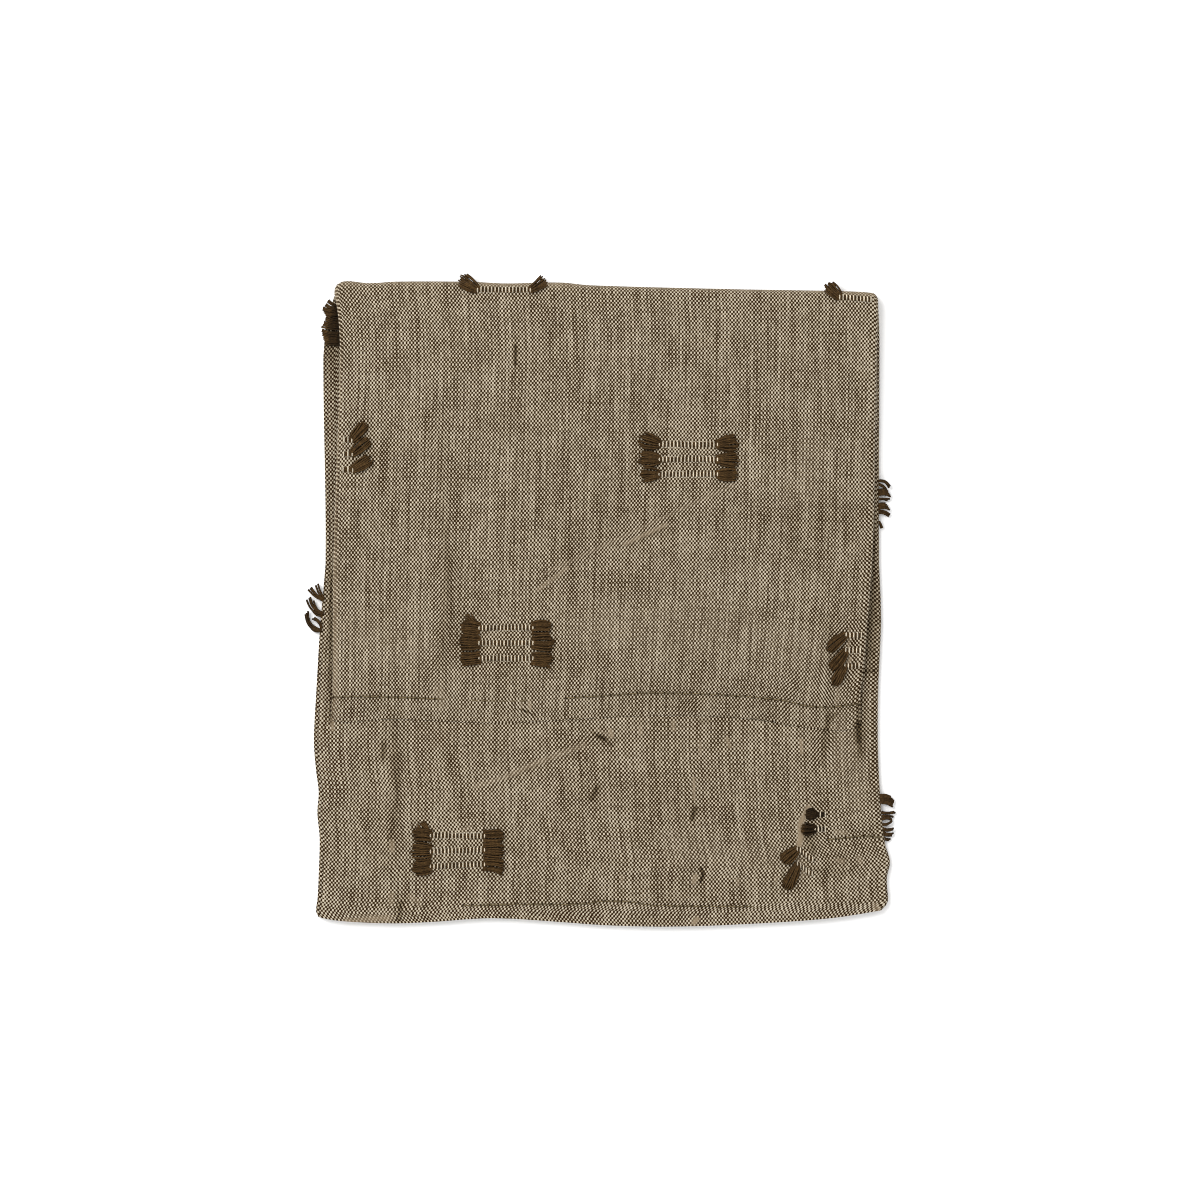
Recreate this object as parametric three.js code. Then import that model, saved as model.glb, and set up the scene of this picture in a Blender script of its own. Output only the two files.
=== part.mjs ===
// A cotton tea towel, folded in three across its width and then once over its top edge, lying face up.
// Millimetres, +Z up. +X is to the right and +Y runs from the loose hems up to the top fold.
// The origin is the middle of the folded towel, on the surface it lies on.
import * as THREE from "three";

// The cloth and how closely its layers lie
const clothThick = 1.0;
const layerGap = 0.4;
const layerStep = clothThick + layerGap;
const firstSelvageShort = 15;
const firstThirdEnd = 0.9;
const lastSelvageShort = 1.6;

// A strip of three layers, and the roll where it turns over the top edge
const stripHigh = 3 * layerStep - layerGap;
const rollRadius = stripHigh + layerGap / 2;
const stackHigh = 2 * rollRadius;

// The turned hem at each end of the cloth swells a little, and eases out just past its stitches
const hem = { stitchedAt: 9.6, past: 1, ease: 3, swell: 0.18 };

// Where the flap's three layers end: the lower two stop short, so the top one slopes down over them.
const hemLag = { firstThird: 5, lastThird: 8, leftCorner: 3, rightCorner: 5, cornerWide: 16 };
// The slope's first and last rows only carry its line on past both ends
const flapSlope = [
  { inFrom: -1, drop: 2.75 },
  { inFrom: 0, drop: 2.65 },
  { inFrom: 2.5, drop: 1.75 },
  { inFrom: 5, drop: 0.9 },
  { inFrom: 8, drop: 0.15 },
  { inFrom: 12, drop: 0 },
  { inFrom: 13, drop: 0 },
];

// The top fold, seen from above, left to right
const topFold = [
  { x: -116, y: 135.4 },
  { x: -113.5, y: 137.8 },
  { x: -109.4, y: 138.4 },
  { x: -101, y: 137.5 },
  { x: -88.5, y: 138.2 },
  { x: -56, y: 138.1 },
  { x: -41.5, y: 137.4 },
  { x: -17.6, y: 137.8 },
  { x: -4.5, y: 136.6 },
  { x: 57.7, y: 134.9 },
  { x: 106.4, y: 134.0 },
  { x: 118.6, y: 133.2 },
  { x: 121, y: 131.9 },
];

// The loose hems: the flap's, which lies on the stack, and the lower one, which ends it
const flapHem = [
  { x: -118, y: -54.8 },
  { x: -92, y: -52.4 },
  { x: -55, y: -53.8 },
  { x: -35, y: -53.8 },
  { x: -8, y: -52.2 },
  { x: 26, y: -50.8 },
  { x: 60, y: -51.8 },
  { x: 90, y: -56.0 },
  { x: 114, y: -58.4 },
];
const lowerHem = [
  { x: -124.5, y: -138.2 },
  { x: -114, y: -140.1 },
  { x: -90.7, y: -141.2 },
  { x: -71.9, y: -140.5 },
  { x: -52.8, y: -139.1 },
  { x: -40.2, y: -139.1 },
  { x: -18.9, y: -140.5 },
  { x: 4.2, y: -142.1 },
  { x: 32.9, y: -142.6 },
  { x: 69.4, y: -141.2 },
  { x: 100.7, y: -138.9 },
  { x: 124.5, y: -135.2 },
];

// The folded sides, each as it runs from the lower hem or the flap's hem up to the top fold
const leftOfStack = [
  { y: -142, x: -124.2 },
  { y: -131, x: -123.3 },
  { y: -120, x: -122.8 },
  { y: -104.4, x: -122.4 },
  { y: -93.5, x: -123.4 },
  { y: -84.4, x: -122.8 },
  { y: -74.8, x: -124.0 },
  { y: -62, x: -124.9 },
  { y: -40, x: -123.8 },
  { y: -9.1, x: -122.0 },
  { y: 17, x: -119.8 },
  { y: 102.7, x: -120.8 },
  { y: 118, x: -119.9 },
  { y: 133, x: -115.7 },
];
const leftOfFlap = [
  { y: -56, x: -117.6 },
  { y: -40.9, x: -116.6 },
  { y: 17, x: -116.1 },
  { y: 102.7, x: -113.3 },
  { y: 119.2, x: -113.9 },
  { y: 133, x: -115.7 },
];
const rightOfStack = [
  { y: -142, x: 124.9 },
  { y: -132.7, x: 125.4 },
  { y: -122, x: 124.8 },
  { y: -114.8, x: 126.2 },
  { y: -107, x: 124.1 },
  { y: -85.7, x: 121.9 },
  { y: -60, x: 120.9 },
  { y: -35.2, x: 121.2 },
  { y: -9.1, x: 122.4 },
  { y: 18.7, x: 121.4 },
  { y: 117, x: 121.6 },
  { y: 131, x: 120.9 },
];
const rightOfFlap = [
  { y: -58, x: 113.3 },
  { y: -43.9, x: 113.4 },
  { y: -31.3, x: 114.7 },
  { y: 18.7, x: 118.5 },
  { y: 75, x: 119.8 },
  { y: 131, x: 120.9 },
];

// Soft ridges that stand in the cloth, each along a line on the flap or on the stack below it
const ridges = [
  { on: "flap", x1: -71, y1: 96, x2: -66.6, y2: 12, wide: 3.2, high: 0.55 },
  { on: "flap", x1: -66.6, y1: 12, x2: -70.5, y2: -36, wide: 3.2, high: 0.75 },
  { on: "flap", x1: 60, y1: 48, x2: -22, y2: 14, wide: 4.5, high: 0.35 },
  { on: "stack", x1: -91.5, y1: -50, x2: -88.6, y2: -98, wide: 3.4, high: 0.9 },
  { on: "stack", x1: -88.6, y1: -98, x2: -93, y2: -118, wide: 3.4, high: 0.7 },
  { on: "stack", x1: -93, y1: -118, x2: -88, y2: -138, wide: 3.4, high: 0.9 },
  { on: "stack", x1: -2, y1: -62, x2: -48, y2: -80, wide: 4.5, high: 0.4 },
  { on: "stack", x1: 114, y1: -48, x2: 113, y2: -70, wide: 3.2, high: 0.6 },
];

// Where points stand across each third, as shares of the folded width, alike in all three
const columnRuns = [
  { about: "left fold", from: 0.035, to: 0.06, steps: 1 },
  { about: "ridge of the stack", from: 0.108, to: 0.146, steps: 2 },
  { about: "ridge of the flap", from: 0.178, to: 0.222, steps: 2 },
  { about: "plain middle", from: 0.3, to: 0.85, steps: 4 },
  { about: "right fold", from: 0.92, to: 0.965, steps: 1 },
];
const foldSteps = { left: 4, right: 5, top: 6 };

// Where rows of points stand up the stack and down the flap, as shares of each one's length
const stackRuns = [
  { about: "lower hem", from: 0, to: 0.035, steps: 2 },
  { about: "open part below the flap", from: 0.065, to: 0.275, steps: 7 },
  { about: "part under the flap", from: 0.35, to: 1, steps: 6 },
];
const flapRuns = [{ about: "flat part of the flap", from: 0.08, to: 0.88, steps: 6 }];
const flapLong = 187;

// The inlaid yarn: narrow bars of thick dark yarn, with a cut tuft where a pick leaves the cloth
const seatGap = 0.3;
const bar = { wide: 2.3, thick: 0.7 };
const tuft = { root: 2.6, body: 6.0, tip: 4.6, thick: 1.7, tipThick: 1.1 };
const sideTuft = { root: 2.0, body: 4.6, tip: 3.4, thick: 1.7, tipThick: 1.0 };
const tuftShares = { root: 0.12, body: 0.5, tip: 1 };
const levelNearRoll = 8;

// Picks that lie on the cloth. A bar runs from x1 to x2. A tuft reaches out and up by the given lengths
const laidPicks = [
  { name: "upper_a", x1: 25.6, x2: 50.9, y: 67.2, left: [9.4, 0.6], right: [9.6, 0.6] },
  { name: "upper_b", x1: 25.6, x2: 50.9, y: 60.7, left: [9.6, -0.2], right: [9.4, 0.3] },
  { name: "upper_c", x1: 25.6, x2: 50.9, y: 54.2, left: [9.0, -0.6], right: [9.2, -0.6] },
  { name: "middle_a", x1: -52.8, x2: -29.3, y: -12.5, left: [9.2, 0.8], right: [9.6, 0.3] },
  { name: "middle_b", x1: -52.8, x2: -29.3, y: -19.1, left: [9.3, -0.2], right: [9.8, -0.3] },
  { name: "middle_c", x1: -52.8, x2: -29.3, y: -25.8, left: [9.0, -1.0], right: [10.0, -1.8] },
  { name: "lower_a", x1: -74.0, x2: -50.4, y: -103.1, left: [9.2, 0.8], right: [9.8, 0.2] },
  { name: "lower_b", x1: -74.0, x2: -50.4, y: -109.8, left: [9.3, -0.2], right: [9.9, -0.3] },
  { name: "lower_c", x1: -74.0, x2: -50.4, y: -116.4, left: [9.0, -1.2], right: [9.6, -1.6] },
  { name: "left_a", x1: -111.4, x2: -108.0, y: 69.2, right: [8.0, 5.6] },
  { name: "left_b", x1: -111.6, x2: -107.8, y: 63.0, right: [8.0, 4.8] },
  { name: "left_c", x1: -111.8, x2: -107.6, y: 56.3, right: [8.2, 3.4] },
  { name: "right_a", x1: 106.8, x2: 113.4, y: -15.7, left: [7.6, -2.6] },
  { name: "right_b", x1: 106.6, x2: 112.9, y: -22.4, left: [7.6, -4.2] },
  { name: "right_c", x1: 106.2, x2: 112.4, y: -29.0, left: [7.0, -5.4] },
  { name: "corner_a", x1: 93.8, x2: 97.9, y: -93.8, left: [5.6, -0.6] },
  { name: "corner_b", x1: 93.8, x2: 97.9, y: -100.2, left: [6.6, -0.4] },
  { name: "corner_c", x1: 85.9, x2: 91.6, y: -109.6, left: [7.6, -5.6] },
  { name: "corner_d", x1: 85.4, x2: 91.6, y: -117.4, left: [5.4, -8.0] },
  { name: "top_middle", x1: -53.0, x2: -31.0, y: 133.4, left: [9.2, 7.6], right: [8.2, 7.4] },
  { name: "top_right", x1: 104.8, x2: 117.6, y: 130.2, left: [6.6, 7.6] },
];

// Tufts that stand out of the folded sides, from a root on the fold at the given height
const sidePicks = [
  { name: "side_upper_left_a", x: -115.6, y: 126.2, z: 5.1, out: [-5.8, 0.8] },
  { name: "side_upper_left_b", x: -115.4, y: 119.6, z: 5.1, out: [-5.8, 0.2] },
  { name: "side_upper_left_c", x: -114.9, y: 113.0, z: 5.1, out: [-5.6, -0.2] },
  { name: "side_left_a", x: -122.0, y: -0.4, z: 2.4, out: [-4.0, 5.4] },
  { name: "side_left_b", x: -122.5, y: -7.2, z: 2.4, out: [-4.6, 5.0] },
  { name: "side_left_c", x: -122.9, y: -13.2, z: 2.4, out: [-4.2, 4.6] },
  { name: "side_upper_right_a", x: 122.3, y: 49.6, z: 2.4, out: [4.4, -1.0] },
  { name: "side_upper_right_b", x: 122.3, y: 44.6, z: 2.4, out: [4.4, -0.4] },
  { name: "side_upper_right_c", x: 122.3, y: 39.4, z: 2.4, out: [4.2, -1.8] },
  { name: "side_lower_right_a", x: 122.9, y: -88.6, z: 2.4, out: [5.0, 0.2] },
  { name: "side_lower_right_b", x: 123.5, y: -95.4, z: 2.4, out: [4.6, 0.2] },
  { name: "side_lower_right_c", x: 124.3, y: -101.8, z: 2.4, out: [3.8, 0.0] },
];

// The two finishes: matt mixed cream and brown cloth, and matt dark olive-brown yarn
const clothFinish = new THREE.MeshStandardMaterial({ color: 0x8a7a63, roughness: 0.95, metalness: 0 });
const yarnFinish = new THREE.MeshStandardMaterial({ color: 0x453822, roughness: 0.9, metalness: 0 });

function mix(a, b, share) {
  return a + (b - a) * share;
}

// The smooth line through a table's rows: the value in one column where another column stands at a place
function lineThrough(rows, along, across) {
  const slopeAt = (i) => {
    const before = rows[Math.max(i - 1, 0)];
    const after = rows[Math.min(i + 1, rows.length - 1)];
    return (after[across] - before[across]) / (after[along] - before[along]);
  };
  return (place) => {
    const end = rows.length - 1;
    if (place <= rows[0][along]) return rows[0][across];
    if (place >= rows[end][along]) return rows[end][across];
    const i = rows.findIndex((row) => row[along] > place) - 1;
    const span = rows[i + 1][along] - rows[i][along];
    const t = (place - rows[i][along]) / span;
    const eased = t * t * (3 - 2 * t);
    const lift = t * (1 - t) * span * ((1 - t) * slopeAt(i) - t * slopeAt(i + 1));
    return mix(rows[i][across], rows[i + 1][across], eased) + lift;
  };
}

const topAt = lineThrough(topFold, "x", "y");
const flapHemAt = lineThrough(flapHem, "x", "y");
const lowerHemAt = lineThrough(lowerHem, "x", "y");
const dropAt = lineThrough(flapSlope, "inFrom", "drop");
const sides = {
  stack: { left: lineThrough(leftOfStack, "y", "x"), right: lineThrough(rightOfStack, "y", "x") },
  flap: { left: lineThrough(leftOfFlap, "y", "x"), right: lineThrough(rightOfFlap, "y", "x") },
};

// The top roll turns about a line this far below the top fold's outer edge
function rollLineAt(x) {
  return topAt(x) - rollRadius;
}

// How high the ridges of one group stand at a place
function ridgeAt(on, x, y) {
  let high = 0;
  for (const ridge of ridges.filter((each) => each.on === on)) {
    const run = [ridge.x2 - ridge.x1, ridge.y2 - ridge.y1];
    const length = Math.hypot(...run);
    const t = ((x - ridge.x1) * run[0] + (y - ridge.y1) * run[1]) / length ** 2;
    const held = Math.min(Math.max(t, 0), 1);
    const off = Math.hypot(x - ridge.x1 - held * run[0], y - ridge.y1 - held * run[1]);
    high = Math.max(high, ridge.high * Math.exp(-((off / ridge.wide) ** 2)));
  }
  return high;
}

// Swelling of a hem, from none where it is stitched to all of it near the cloth's end
function swellAt(inFrom) {
  return hem.swell * Math.min(Math.max((hem.stitchedAt + hem.past - inFrom) / hem.ease, 0), 1);
}

// Lifts a point of the plain, even stack to where it lies in the uneven one
function settled(x, y, z, inFlap) {
  const inFromFlapHem = y - flapHemAt(x);
  const overStack = inFlap ? z - stripHigh : 0;
  const drop = inFlap ? dropAt(inFromFlapHem) : 0;
  const swell = inFlap ? overStack * swellAt(inFromFlapHem) : z * swellAt(y - lowerHemAt(x));
  const ridge =
    (ridgeAt("flap", x, y) * z) / stackHigh + ridgeAt("stack", x, y) * Math.min(z / stripHigh, 1);
  return z + swell + ridge - drop;
}

// Shares along runs of even steps
function sharesOf(runs) {
  return runs.flatMap(({ from, to, steps }) =>
    Array.from({ length: steps + 1 }, (_, i) => mix(from, to, i / steps)),
  );
}

// The three thirds in one cross-section: the middle line of the cloth, from selvage to selvage.
// Each stop has its share across the width, its offset from there, its height in the strip and its outward side
function stripStops() {
  const stops = [];
  const half = clothThick / 2;
  const firstHigh = half + layerStep;
  const lastHigh = half + 2 * layerStep;
  const turn = (share, centreIn, centreHigh, radius, from, steps) => {
    const side = share === 0 ? -1 : 1;
    for (let i = 0; i <= steps; i++) {
      const angle = from - (from * 2 * i) / steps;
      const outward = [side * Math.cos(angle), Math.sin(angle)];
      stops.push({
        share,
        offset: -side * centreIn + radius * outward[0],
        high: centreHigh + radius * outward[1],
        outward,
      });
    }
  };
  const flat = (shares, high, up) => {
    for (const share of shares) stops.push({ share, offset: 0, high, outward: [0, up] });
  };
  const leftRadius = layerStep / 2;
  const rightRadius = layerStep;
  const columns = sharesOf(columnRuns);
  const backwards = [...columns].reverse();
  stops.push({ share: 1, offset: -firstSelvageShort, high: firstHigh, outward: [0, 1] });
  flat(backwards.filter((share) => share < firstThirdEnd), firstHigh, 1);
  turn(0, leftRadius + half, half + leftRadius, leftRadius, Math.PI / 2, foldSteps.left);
  flat(columns, half, -1);
  turn(1, rightRadius + half, half + rightRadius, rightRadius, -Math.PI / 2, foldSteps.right);
  flat(backwards, lastHigh, 1);
  stops.push({ share: 0, offset: lastSelvageShort, high: lastHigh, outward: [0, 1] });
  return stops;
}

// How far the flap's hem stops short of its outline, at a height in the strip and a distance from its sides
function lagAt(high, fromLeft, fromRight) {
  const middle = clothThick / 2;
  const rise = Math.max(high - middle, 0) / layerStep;
  const nearLeft = Math.max(1 - fromLeft / hemLag.cornerWide, 0) ** 2;
  const nearRight = Math.max(1 - fromRight / hemLag.cornerWide, 0) ** 2;
  const corner = hemLag.leftCorner * nearLeft + hemLag.rightCorner * nearRight;
  const inner = rise <= 1
    ? mix(corner, Math.max(hemLag.firstThird, corner), rise)
    : mix(hemLag.firstThird, hemLag.lastThird, rise - 1);
  return Math.max(inner, corner);
}

// One point of the cloth: a stop of the strip, a row of its length, and how far out from the middle line
function clothPoint(stop, row, out) {
  const high = stop.high + out * stop.outward[1];
  const along = (edge, x) => mix(edge(x), rollLineAt(x), row.part === "flap" ? 1 - row.share : row.share);
  const edgeAt = row.part === "flap" ? flapHemAt : lowerHemAt;
  const side = row.part === "flap" ? sides.flap : sides.stack;
  const guess = mix(side.left(0), side.right(0), stop.share);
  const level = row.part === "roll" ? topFold[0].y : along(edgeAt, guess);
  const left = side.left(level);
  const right = side.right(level);
  const x = mix(left, right, stop.share) + stop.offset + out * stop.outward[0];
  if (row.part === "roll") {
    const reach = rollRadius - high;
    return [x, rollLineAt(x) + reach * Math.sin(row.angle), rollRadius - reach * Math.cos(row.angle)];
  }
  if (row.part === "stack") {
    const y = along(edgeAt, x);
    return [x, y, settled(x, y, high, false)];
  }
  const lag = lagAt(high, x - left, right - x);
  const y = along((place) => edgeAt(place) + lag, x);
  return [x, y, settled(x, y, stackHigh - high, true)];
}

// Rows of the strip's whole length: the stack from the lower hem up, the top roll, then down the flap
function stripRows() {
  const rows = sharesOf(stackRuns).map((share) => ({ part: "stack", share }));
  for (let i = 1; i < foldSteps.top; i++) rows.push({ part: "roll", angle: (Math.PI * i) / foldSteps.top });
  rows.push({ part: "flap", share: 0 });
  for (const share of sharesOf(flapRuns)) rows.push({ part: "flap", share });
  const slopeEdges = flapSlope.slice(1, -1).reverse();
  for (const edge of slopeEdges) rows.push({ part: "flap", share: 1 - edge.inFrom / flapLong });
  return rows;
}

function geometryOf(points, faces) {
  const geometry = new THREE.BufferGeometry();
  geometry.setAttribute("position", new THREE.Float32BufferAttribute(points.flat(), 3));
  geometry.setIndex(faces.flat());
  geometry.computeVertexNormals();
  return geometry;
}

// Closed skin over rings of points that all have the same number, with its two ends filled by the given faces
function skinOver(rings, endFaces) {
  const count = rings[0].length;
  const faces = [];
  for (let row = 0; row < rings.length - 1; row++) {
    for (let i = 0; i < count; i++) {
      const a = row * count + i;
      const b = row * count + ((i + 1) % count);
      faces.push([a, b, b + count], [a, b + count, a + count]);
    }
  }
  const last = (rings.length - 1) * count;
  for (const [a, b, c] of endFaces) {
    faces.push([c, b, a]);
    faces.push([last + a, last + b, last + c]);
  }
  return geometryOf(rings.flat(), faces);
}

// The folded cloth, one sheet swept from hem to hem
function towelCloth() {
  const stops = stripStops();
  const half = clothThick / 2;
  const rings = stripRows().map((row) => [
    ...stops.map((stop) => clothPoint(stop, row, -half)),
    ...[...stops].reverse().map((stop) => clothPoint(stop, row, half)),
  ]);
  const far = 2 * stops.length - 1;
  const hemFaces = [];
  for (let i = 0; i < stops.length - 1; i++) {
    hemFaces.push([i, i + 1, far - i], [i + 1, far - i - 1, far - i]);
  }
  return skinOver(rings, hemFaces);
}

// Height of the top face of the cloth where a pick lies on it
function faceAt(x, y) {
  const pastRoll = y - rollLineAt(x);
  if (pastRoll > 0) {
    const across = Math.min(pastRoll, rollRadius);
    return rollRadius + Math.sqrt(rollRadius ** 2 - across ** 2);
  }
  const onFlap = y > flapHemAt(x);
  return settled(x, y, onFlap ? stackHigh : stripHigh, onFlap);
}

// One flat bundle of yarn with six-sided sections, through stations of place, width and thickness
const sectionCorners = [
  { side: 0.5, up: 0 },
  { side: 0.3, up: 0.5 },
  { side: -0.3, up: 0.5 },
  { side: -0.5, up: 0 },
  { side: -0.3, up: -0.5 },
  { side: 0.3, up: -0.5 },
];
function bundle(stations) {
  const rings = stations.map((at, i) => {
    const before = stations[Math.max(i - 1, 0)];
    const after = stations[Math.min(i + 1, stations.length - 1)];
    const run = [after.x - before.x, after.y - before.y];
    const length = Math.hypot(...run);
    const across = [-run[1] / length, run[0] / length];
    return sectionCorners.map(({ side, up }) => [
      at.x + across[0] * side * at.wide,
      at.y + across[1] * side * at.wide,
      at.z + up * at.thick,
    ]);
  });
  const fan = [[0, 1, 2], [0, 2, 3], [0, 3, 4], [0, 4, 5]];
  return skinOver(rings, fan);
}

// Stations of a tuft from its root outwards, on the cloth or at its root's height past the cloth's edge
function tuftStations(shape, root, reach, faceHigh) {
  const sections = [
    { share: tuftShares.root, wide: shape.root, thick: shape.tipThick },
    { share: tuftShares.body, wide: shape.body, thick: shape.thick },
    { share: tuftShares.tip, wide: shape.tip, thick: shape.tipThick },
  ];
  return sections.map(({ share, wide, thick }) => {
    const x = root.x + share * reach[0];
    const y = root.y + share * reach[1];
    return { x, y, wide, thick, z: faceHigh(x, y) + seatGap + thick / 2 };
  });
}

// A pick that lies on the cloth: its bar, and a tuft at the ends that show. Near the roll it stays level
function laidPick({ x1, x2, y, left, right }) {
  const nearRoll = y > rollLineAt(x1) - levelNearRoll;
  const lowest = nearRoll ? Math.max(faceAt(x1, y), faceAt(x2, y)) : 0;
  const high = (x, place) => Math.max(faceAt(x, place), lowest);
  const barEnd = (x) => ({ x, y, wide: bar.wide, thick: bar.thick, z: high(x, y) + seatGap + bar.thick / 2 });
  const stations = [barEnd(x1), barEnd(x2)];
  if (left) stations.unshift(...tuftStations(tuft, { x: x1, y }, [-left[0], left[1]], high).reverse());
  if (right) stations.push(...tuftStations(tuft, { x: x2, y }, right, high));
  return bundle(stations);
}

// A tuft that stands out of a side fold, level with its root
function sidePick({ x, y, z, out }) {
  const root = { x, y };
  const level = () => z - seatGap - sideTuft.thick / 2;
  const start = { x, y, wide: sideTuft.root, thick: sideTuft.tipThick, z };
  const stations = tuftStations(sideTuft, root, out, level).slice(1);
  return bundle([start, ...stations.map((at) => ({ ...at, z }))]);
}

function named(name, geometry, material) {
  const mesh = new THREE.Mesh(geometry, material);
  mesh.name = name;
  return mesh;
}

const foldedTowel = new THREE.Group();
foldedTowel.add(named("towel_cloth", towelCloth(), clothFinish));
for (const pick of laidPicks) foldedTowel.add(named("inlay_" + pick.name, laidPick(pick), yarnFinish));
for (const pick of sidePicks) foldedTowel.add(named("inlay_" + pick.name, sidePick(pick), yarnFinish));

export default foldedTowel;
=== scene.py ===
import math
import random

import bpy
import numpy as np
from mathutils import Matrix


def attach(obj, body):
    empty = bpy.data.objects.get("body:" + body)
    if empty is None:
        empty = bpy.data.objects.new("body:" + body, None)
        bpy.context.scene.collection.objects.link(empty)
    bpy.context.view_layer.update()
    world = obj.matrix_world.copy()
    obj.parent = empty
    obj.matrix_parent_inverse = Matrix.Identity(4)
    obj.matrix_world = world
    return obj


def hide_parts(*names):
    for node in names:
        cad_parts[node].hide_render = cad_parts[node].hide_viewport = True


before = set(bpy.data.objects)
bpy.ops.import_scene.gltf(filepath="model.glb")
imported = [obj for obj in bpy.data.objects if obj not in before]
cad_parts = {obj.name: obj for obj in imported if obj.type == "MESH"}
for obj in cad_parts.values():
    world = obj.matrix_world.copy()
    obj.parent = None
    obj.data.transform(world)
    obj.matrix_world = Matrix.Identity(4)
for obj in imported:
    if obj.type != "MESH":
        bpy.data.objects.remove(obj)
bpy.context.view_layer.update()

# Studio: a plain white floor under soft daylight, with the camera straight above the towel.
# Places are in millimetres as far as the meshes, which are made in metres.
MM = 0.001
photo_side = 522.0
face_height = 6.0
camera_height = 2400.0
photo_middle = (-0.17, -0.44)
camera_data = bpy.data.cameras.new("camera")
camera_data.sensor_width = 36.0
camera_data.lens = 36.0 * (camera_height - face_height) / photo_side
camera = bpy.data.objects.new("camera", camera_data)
camera.location = (photo_middle[0] * MM, photo_middle[1] * MM, camera_height * MM)
bpy.context.scene.collection.objects.link(camera)
bpy.context.scene.camera = camera
bpy.context.scene.view_settings.view_transform = "Standard"
# The weave is three pixels wide, so it is neither smoothed away nor blurred
bpy.context.scene.cycles.denoising_prefilter = "NONE"
bpy.context.scene.cycles.filter_width = 1.0


def mesh_object(name, points, faces=(), edges=()):
    """A new object in the scene, from points in millimetres."""
    mesh = bpy.data.meshes.new(name)
    mesh.from_pydata([tuple(float(c) * MM for c in p) for p in points], edges, faces)
    mesh.update()
    made = bpy.data.objects.new(name, mesh)
    bpy.context.scene.collection.objects.link(made)
    return made


def plain_material(name, colour, roughness, specular=0.2):
    """A material with a Principled shader, and that shader's node."""
    material = bpy.data.materials.new(name)
    material.use_nodes = True
    shader = material.node_tree.nodes["Principled BSDF"]
    shader.inputs["Base Color"].default_value = (*colour, 1)
    shader.inputs["Roughness"].default_value = roughness
    shader.inputs["Specular IOR Level"].default_value = specular
    return material, shader


half_floor = 4000.0
floor = mesh_object(
    "floor",
    [(-half_floor, -half_floor, 0), (half_floor, -half_floor, 0),
     (half_floor, half_floor, 0), (-half_floor, half_floor, 0)],
    [(0, 1, 2, 3)],
)
floor.data.materials.append(plain_material("floor_white", (0.94, 0.94, 0.94), 0.9)[0])

daylight = bpy.data.worlds.new("daylight")
daylight.use_nodes = True
daylight.node_tree.nodes["Background"].inputs["Color"].default_value = (1.0, 1.0, 1.0, 1)
daylight.node_tree.nodes["Background"].inputs["Strength"].default_value = 1.06
bpy.context.scene.world = daylight
window_data = bpy.data.lights.new("window", "AREA")
window_data.size = 0.9
window_data.energy = 24.0
window = bpy.data.objects.new("window", window_data)
window.location = (-0.85, 0.7, 1.6)
window.rotation_euler = (math.radians(-24.0), math.radians(-27.0), 0)
bpy.context.scene.collection.objects.link(window)

# Towel cloth: one piece of cotton plain weave, 457 by 711 mm, cream warp and dark brown weft, hems turned.
# Folded in three across its width, outer thirds over the middle one, then once over its top edge.
# The folding follows the frame's own cloth, with more points and the small creases of handling.
cloth_thick = 1.0
half_thick = cloth_thick / 2
layer_gap = 0.4
layer_step = cloth_thick + layer_gap
first_selvage_short = 15.0
last_selvage_short = 1.6
strip_high = 3 * layer_step - layer_gap
roll_radius = strip_high + layer_gap / 2
stack_high = 2 * roll_radius
third_wide = 237.0
stack_long = 272.0
flap_long = 187.0

# The lower hem is thicker up to its stitches and a little past them
hem_stitched_at = 9.6
hem_past = 1.0
hem_ease = 3.0
hem_swell = 0.18
# The two layers under the flap's face stop short of its hem, and all three do at its corners
lag_first = 5.0
lag_last = 8.0
lag_left = 2.4
lag_right = 3.4
lag_corner_wide = 11.0

# Each line is given by its turning places, as (along, across)
top_fold = [
    (-116, 135.4), (-113.5, 137.8), (-109.4, 138.4), (-101, 137.5), (-88.5, 138.2), (-56, 138.1),
    (-41.5, 137.4), (-17.6, 137.8), (-4.5, 136.6), (57.7, 134.9), (106.4, 134.0), (118.6, 133.2),
    (121, 131.9),
]
flap_hem = [
    (-118, -54.8), (-92, -52.4), (-55, -53.8), (-35, -53.8), (-8, -52.2), (26, -50.8), (60, -51.8),
    (90, -56.0), (114, -58.4),
]
lower_hem = [
    (-124.5, -138.2), (-114, -140.1), (-90.7, -141.2), (-71.9, -140.5), (-52.8, -139.1), (-40.2, -139.1),
    (-18.9, -140.5), (4.2, -142.1), (32.9, -142.6), (69.4, -141.2), (100.7, -138.9), (124.5, -135.2),
]
left_of_stack = [
    (-142, -122.0), (-138.2, -123.2), (-136.6, -124.0), (-131, -123.3), (-120, -122.8),
    (-104.4, -122.4), (-93.5, -123.4), (-84.4, -122.8), (-74.8, -124.0), (-62, -124.9), (-40, -123.8),
    (-9.1, -122.0), (17, -119.8), (102.7, -120.8), (118, -119.9), (133, -115.7),
]
left_of_flap = [
    (-56, -117.6), (-40.9, -116.6), (17, -116.1), (102.7, -113.3), (119.2, -113.9), (133, -115.7),
]
right_of_stack = [
    (-142, 121.5), (-135.4, 122.6), (-133.6, 124.6), (-132.2, 125.4), (-122, 124.8), (-114.8, 126.2),
    (-107, 124.1), (-85.7, 121.9), (-60, 120.9), (-35.2, 121.2), (-9.1, 122.4), (18.7, 121.4),
    (117, 121.6), (131, 120.9),
]
right_of_flap = [
    (-58, 113.3), (-43.9, 113.4), (-31.3, 114.7), (18.7, 118.5), (75, 119.8), (131, 120.9),
]
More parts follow.
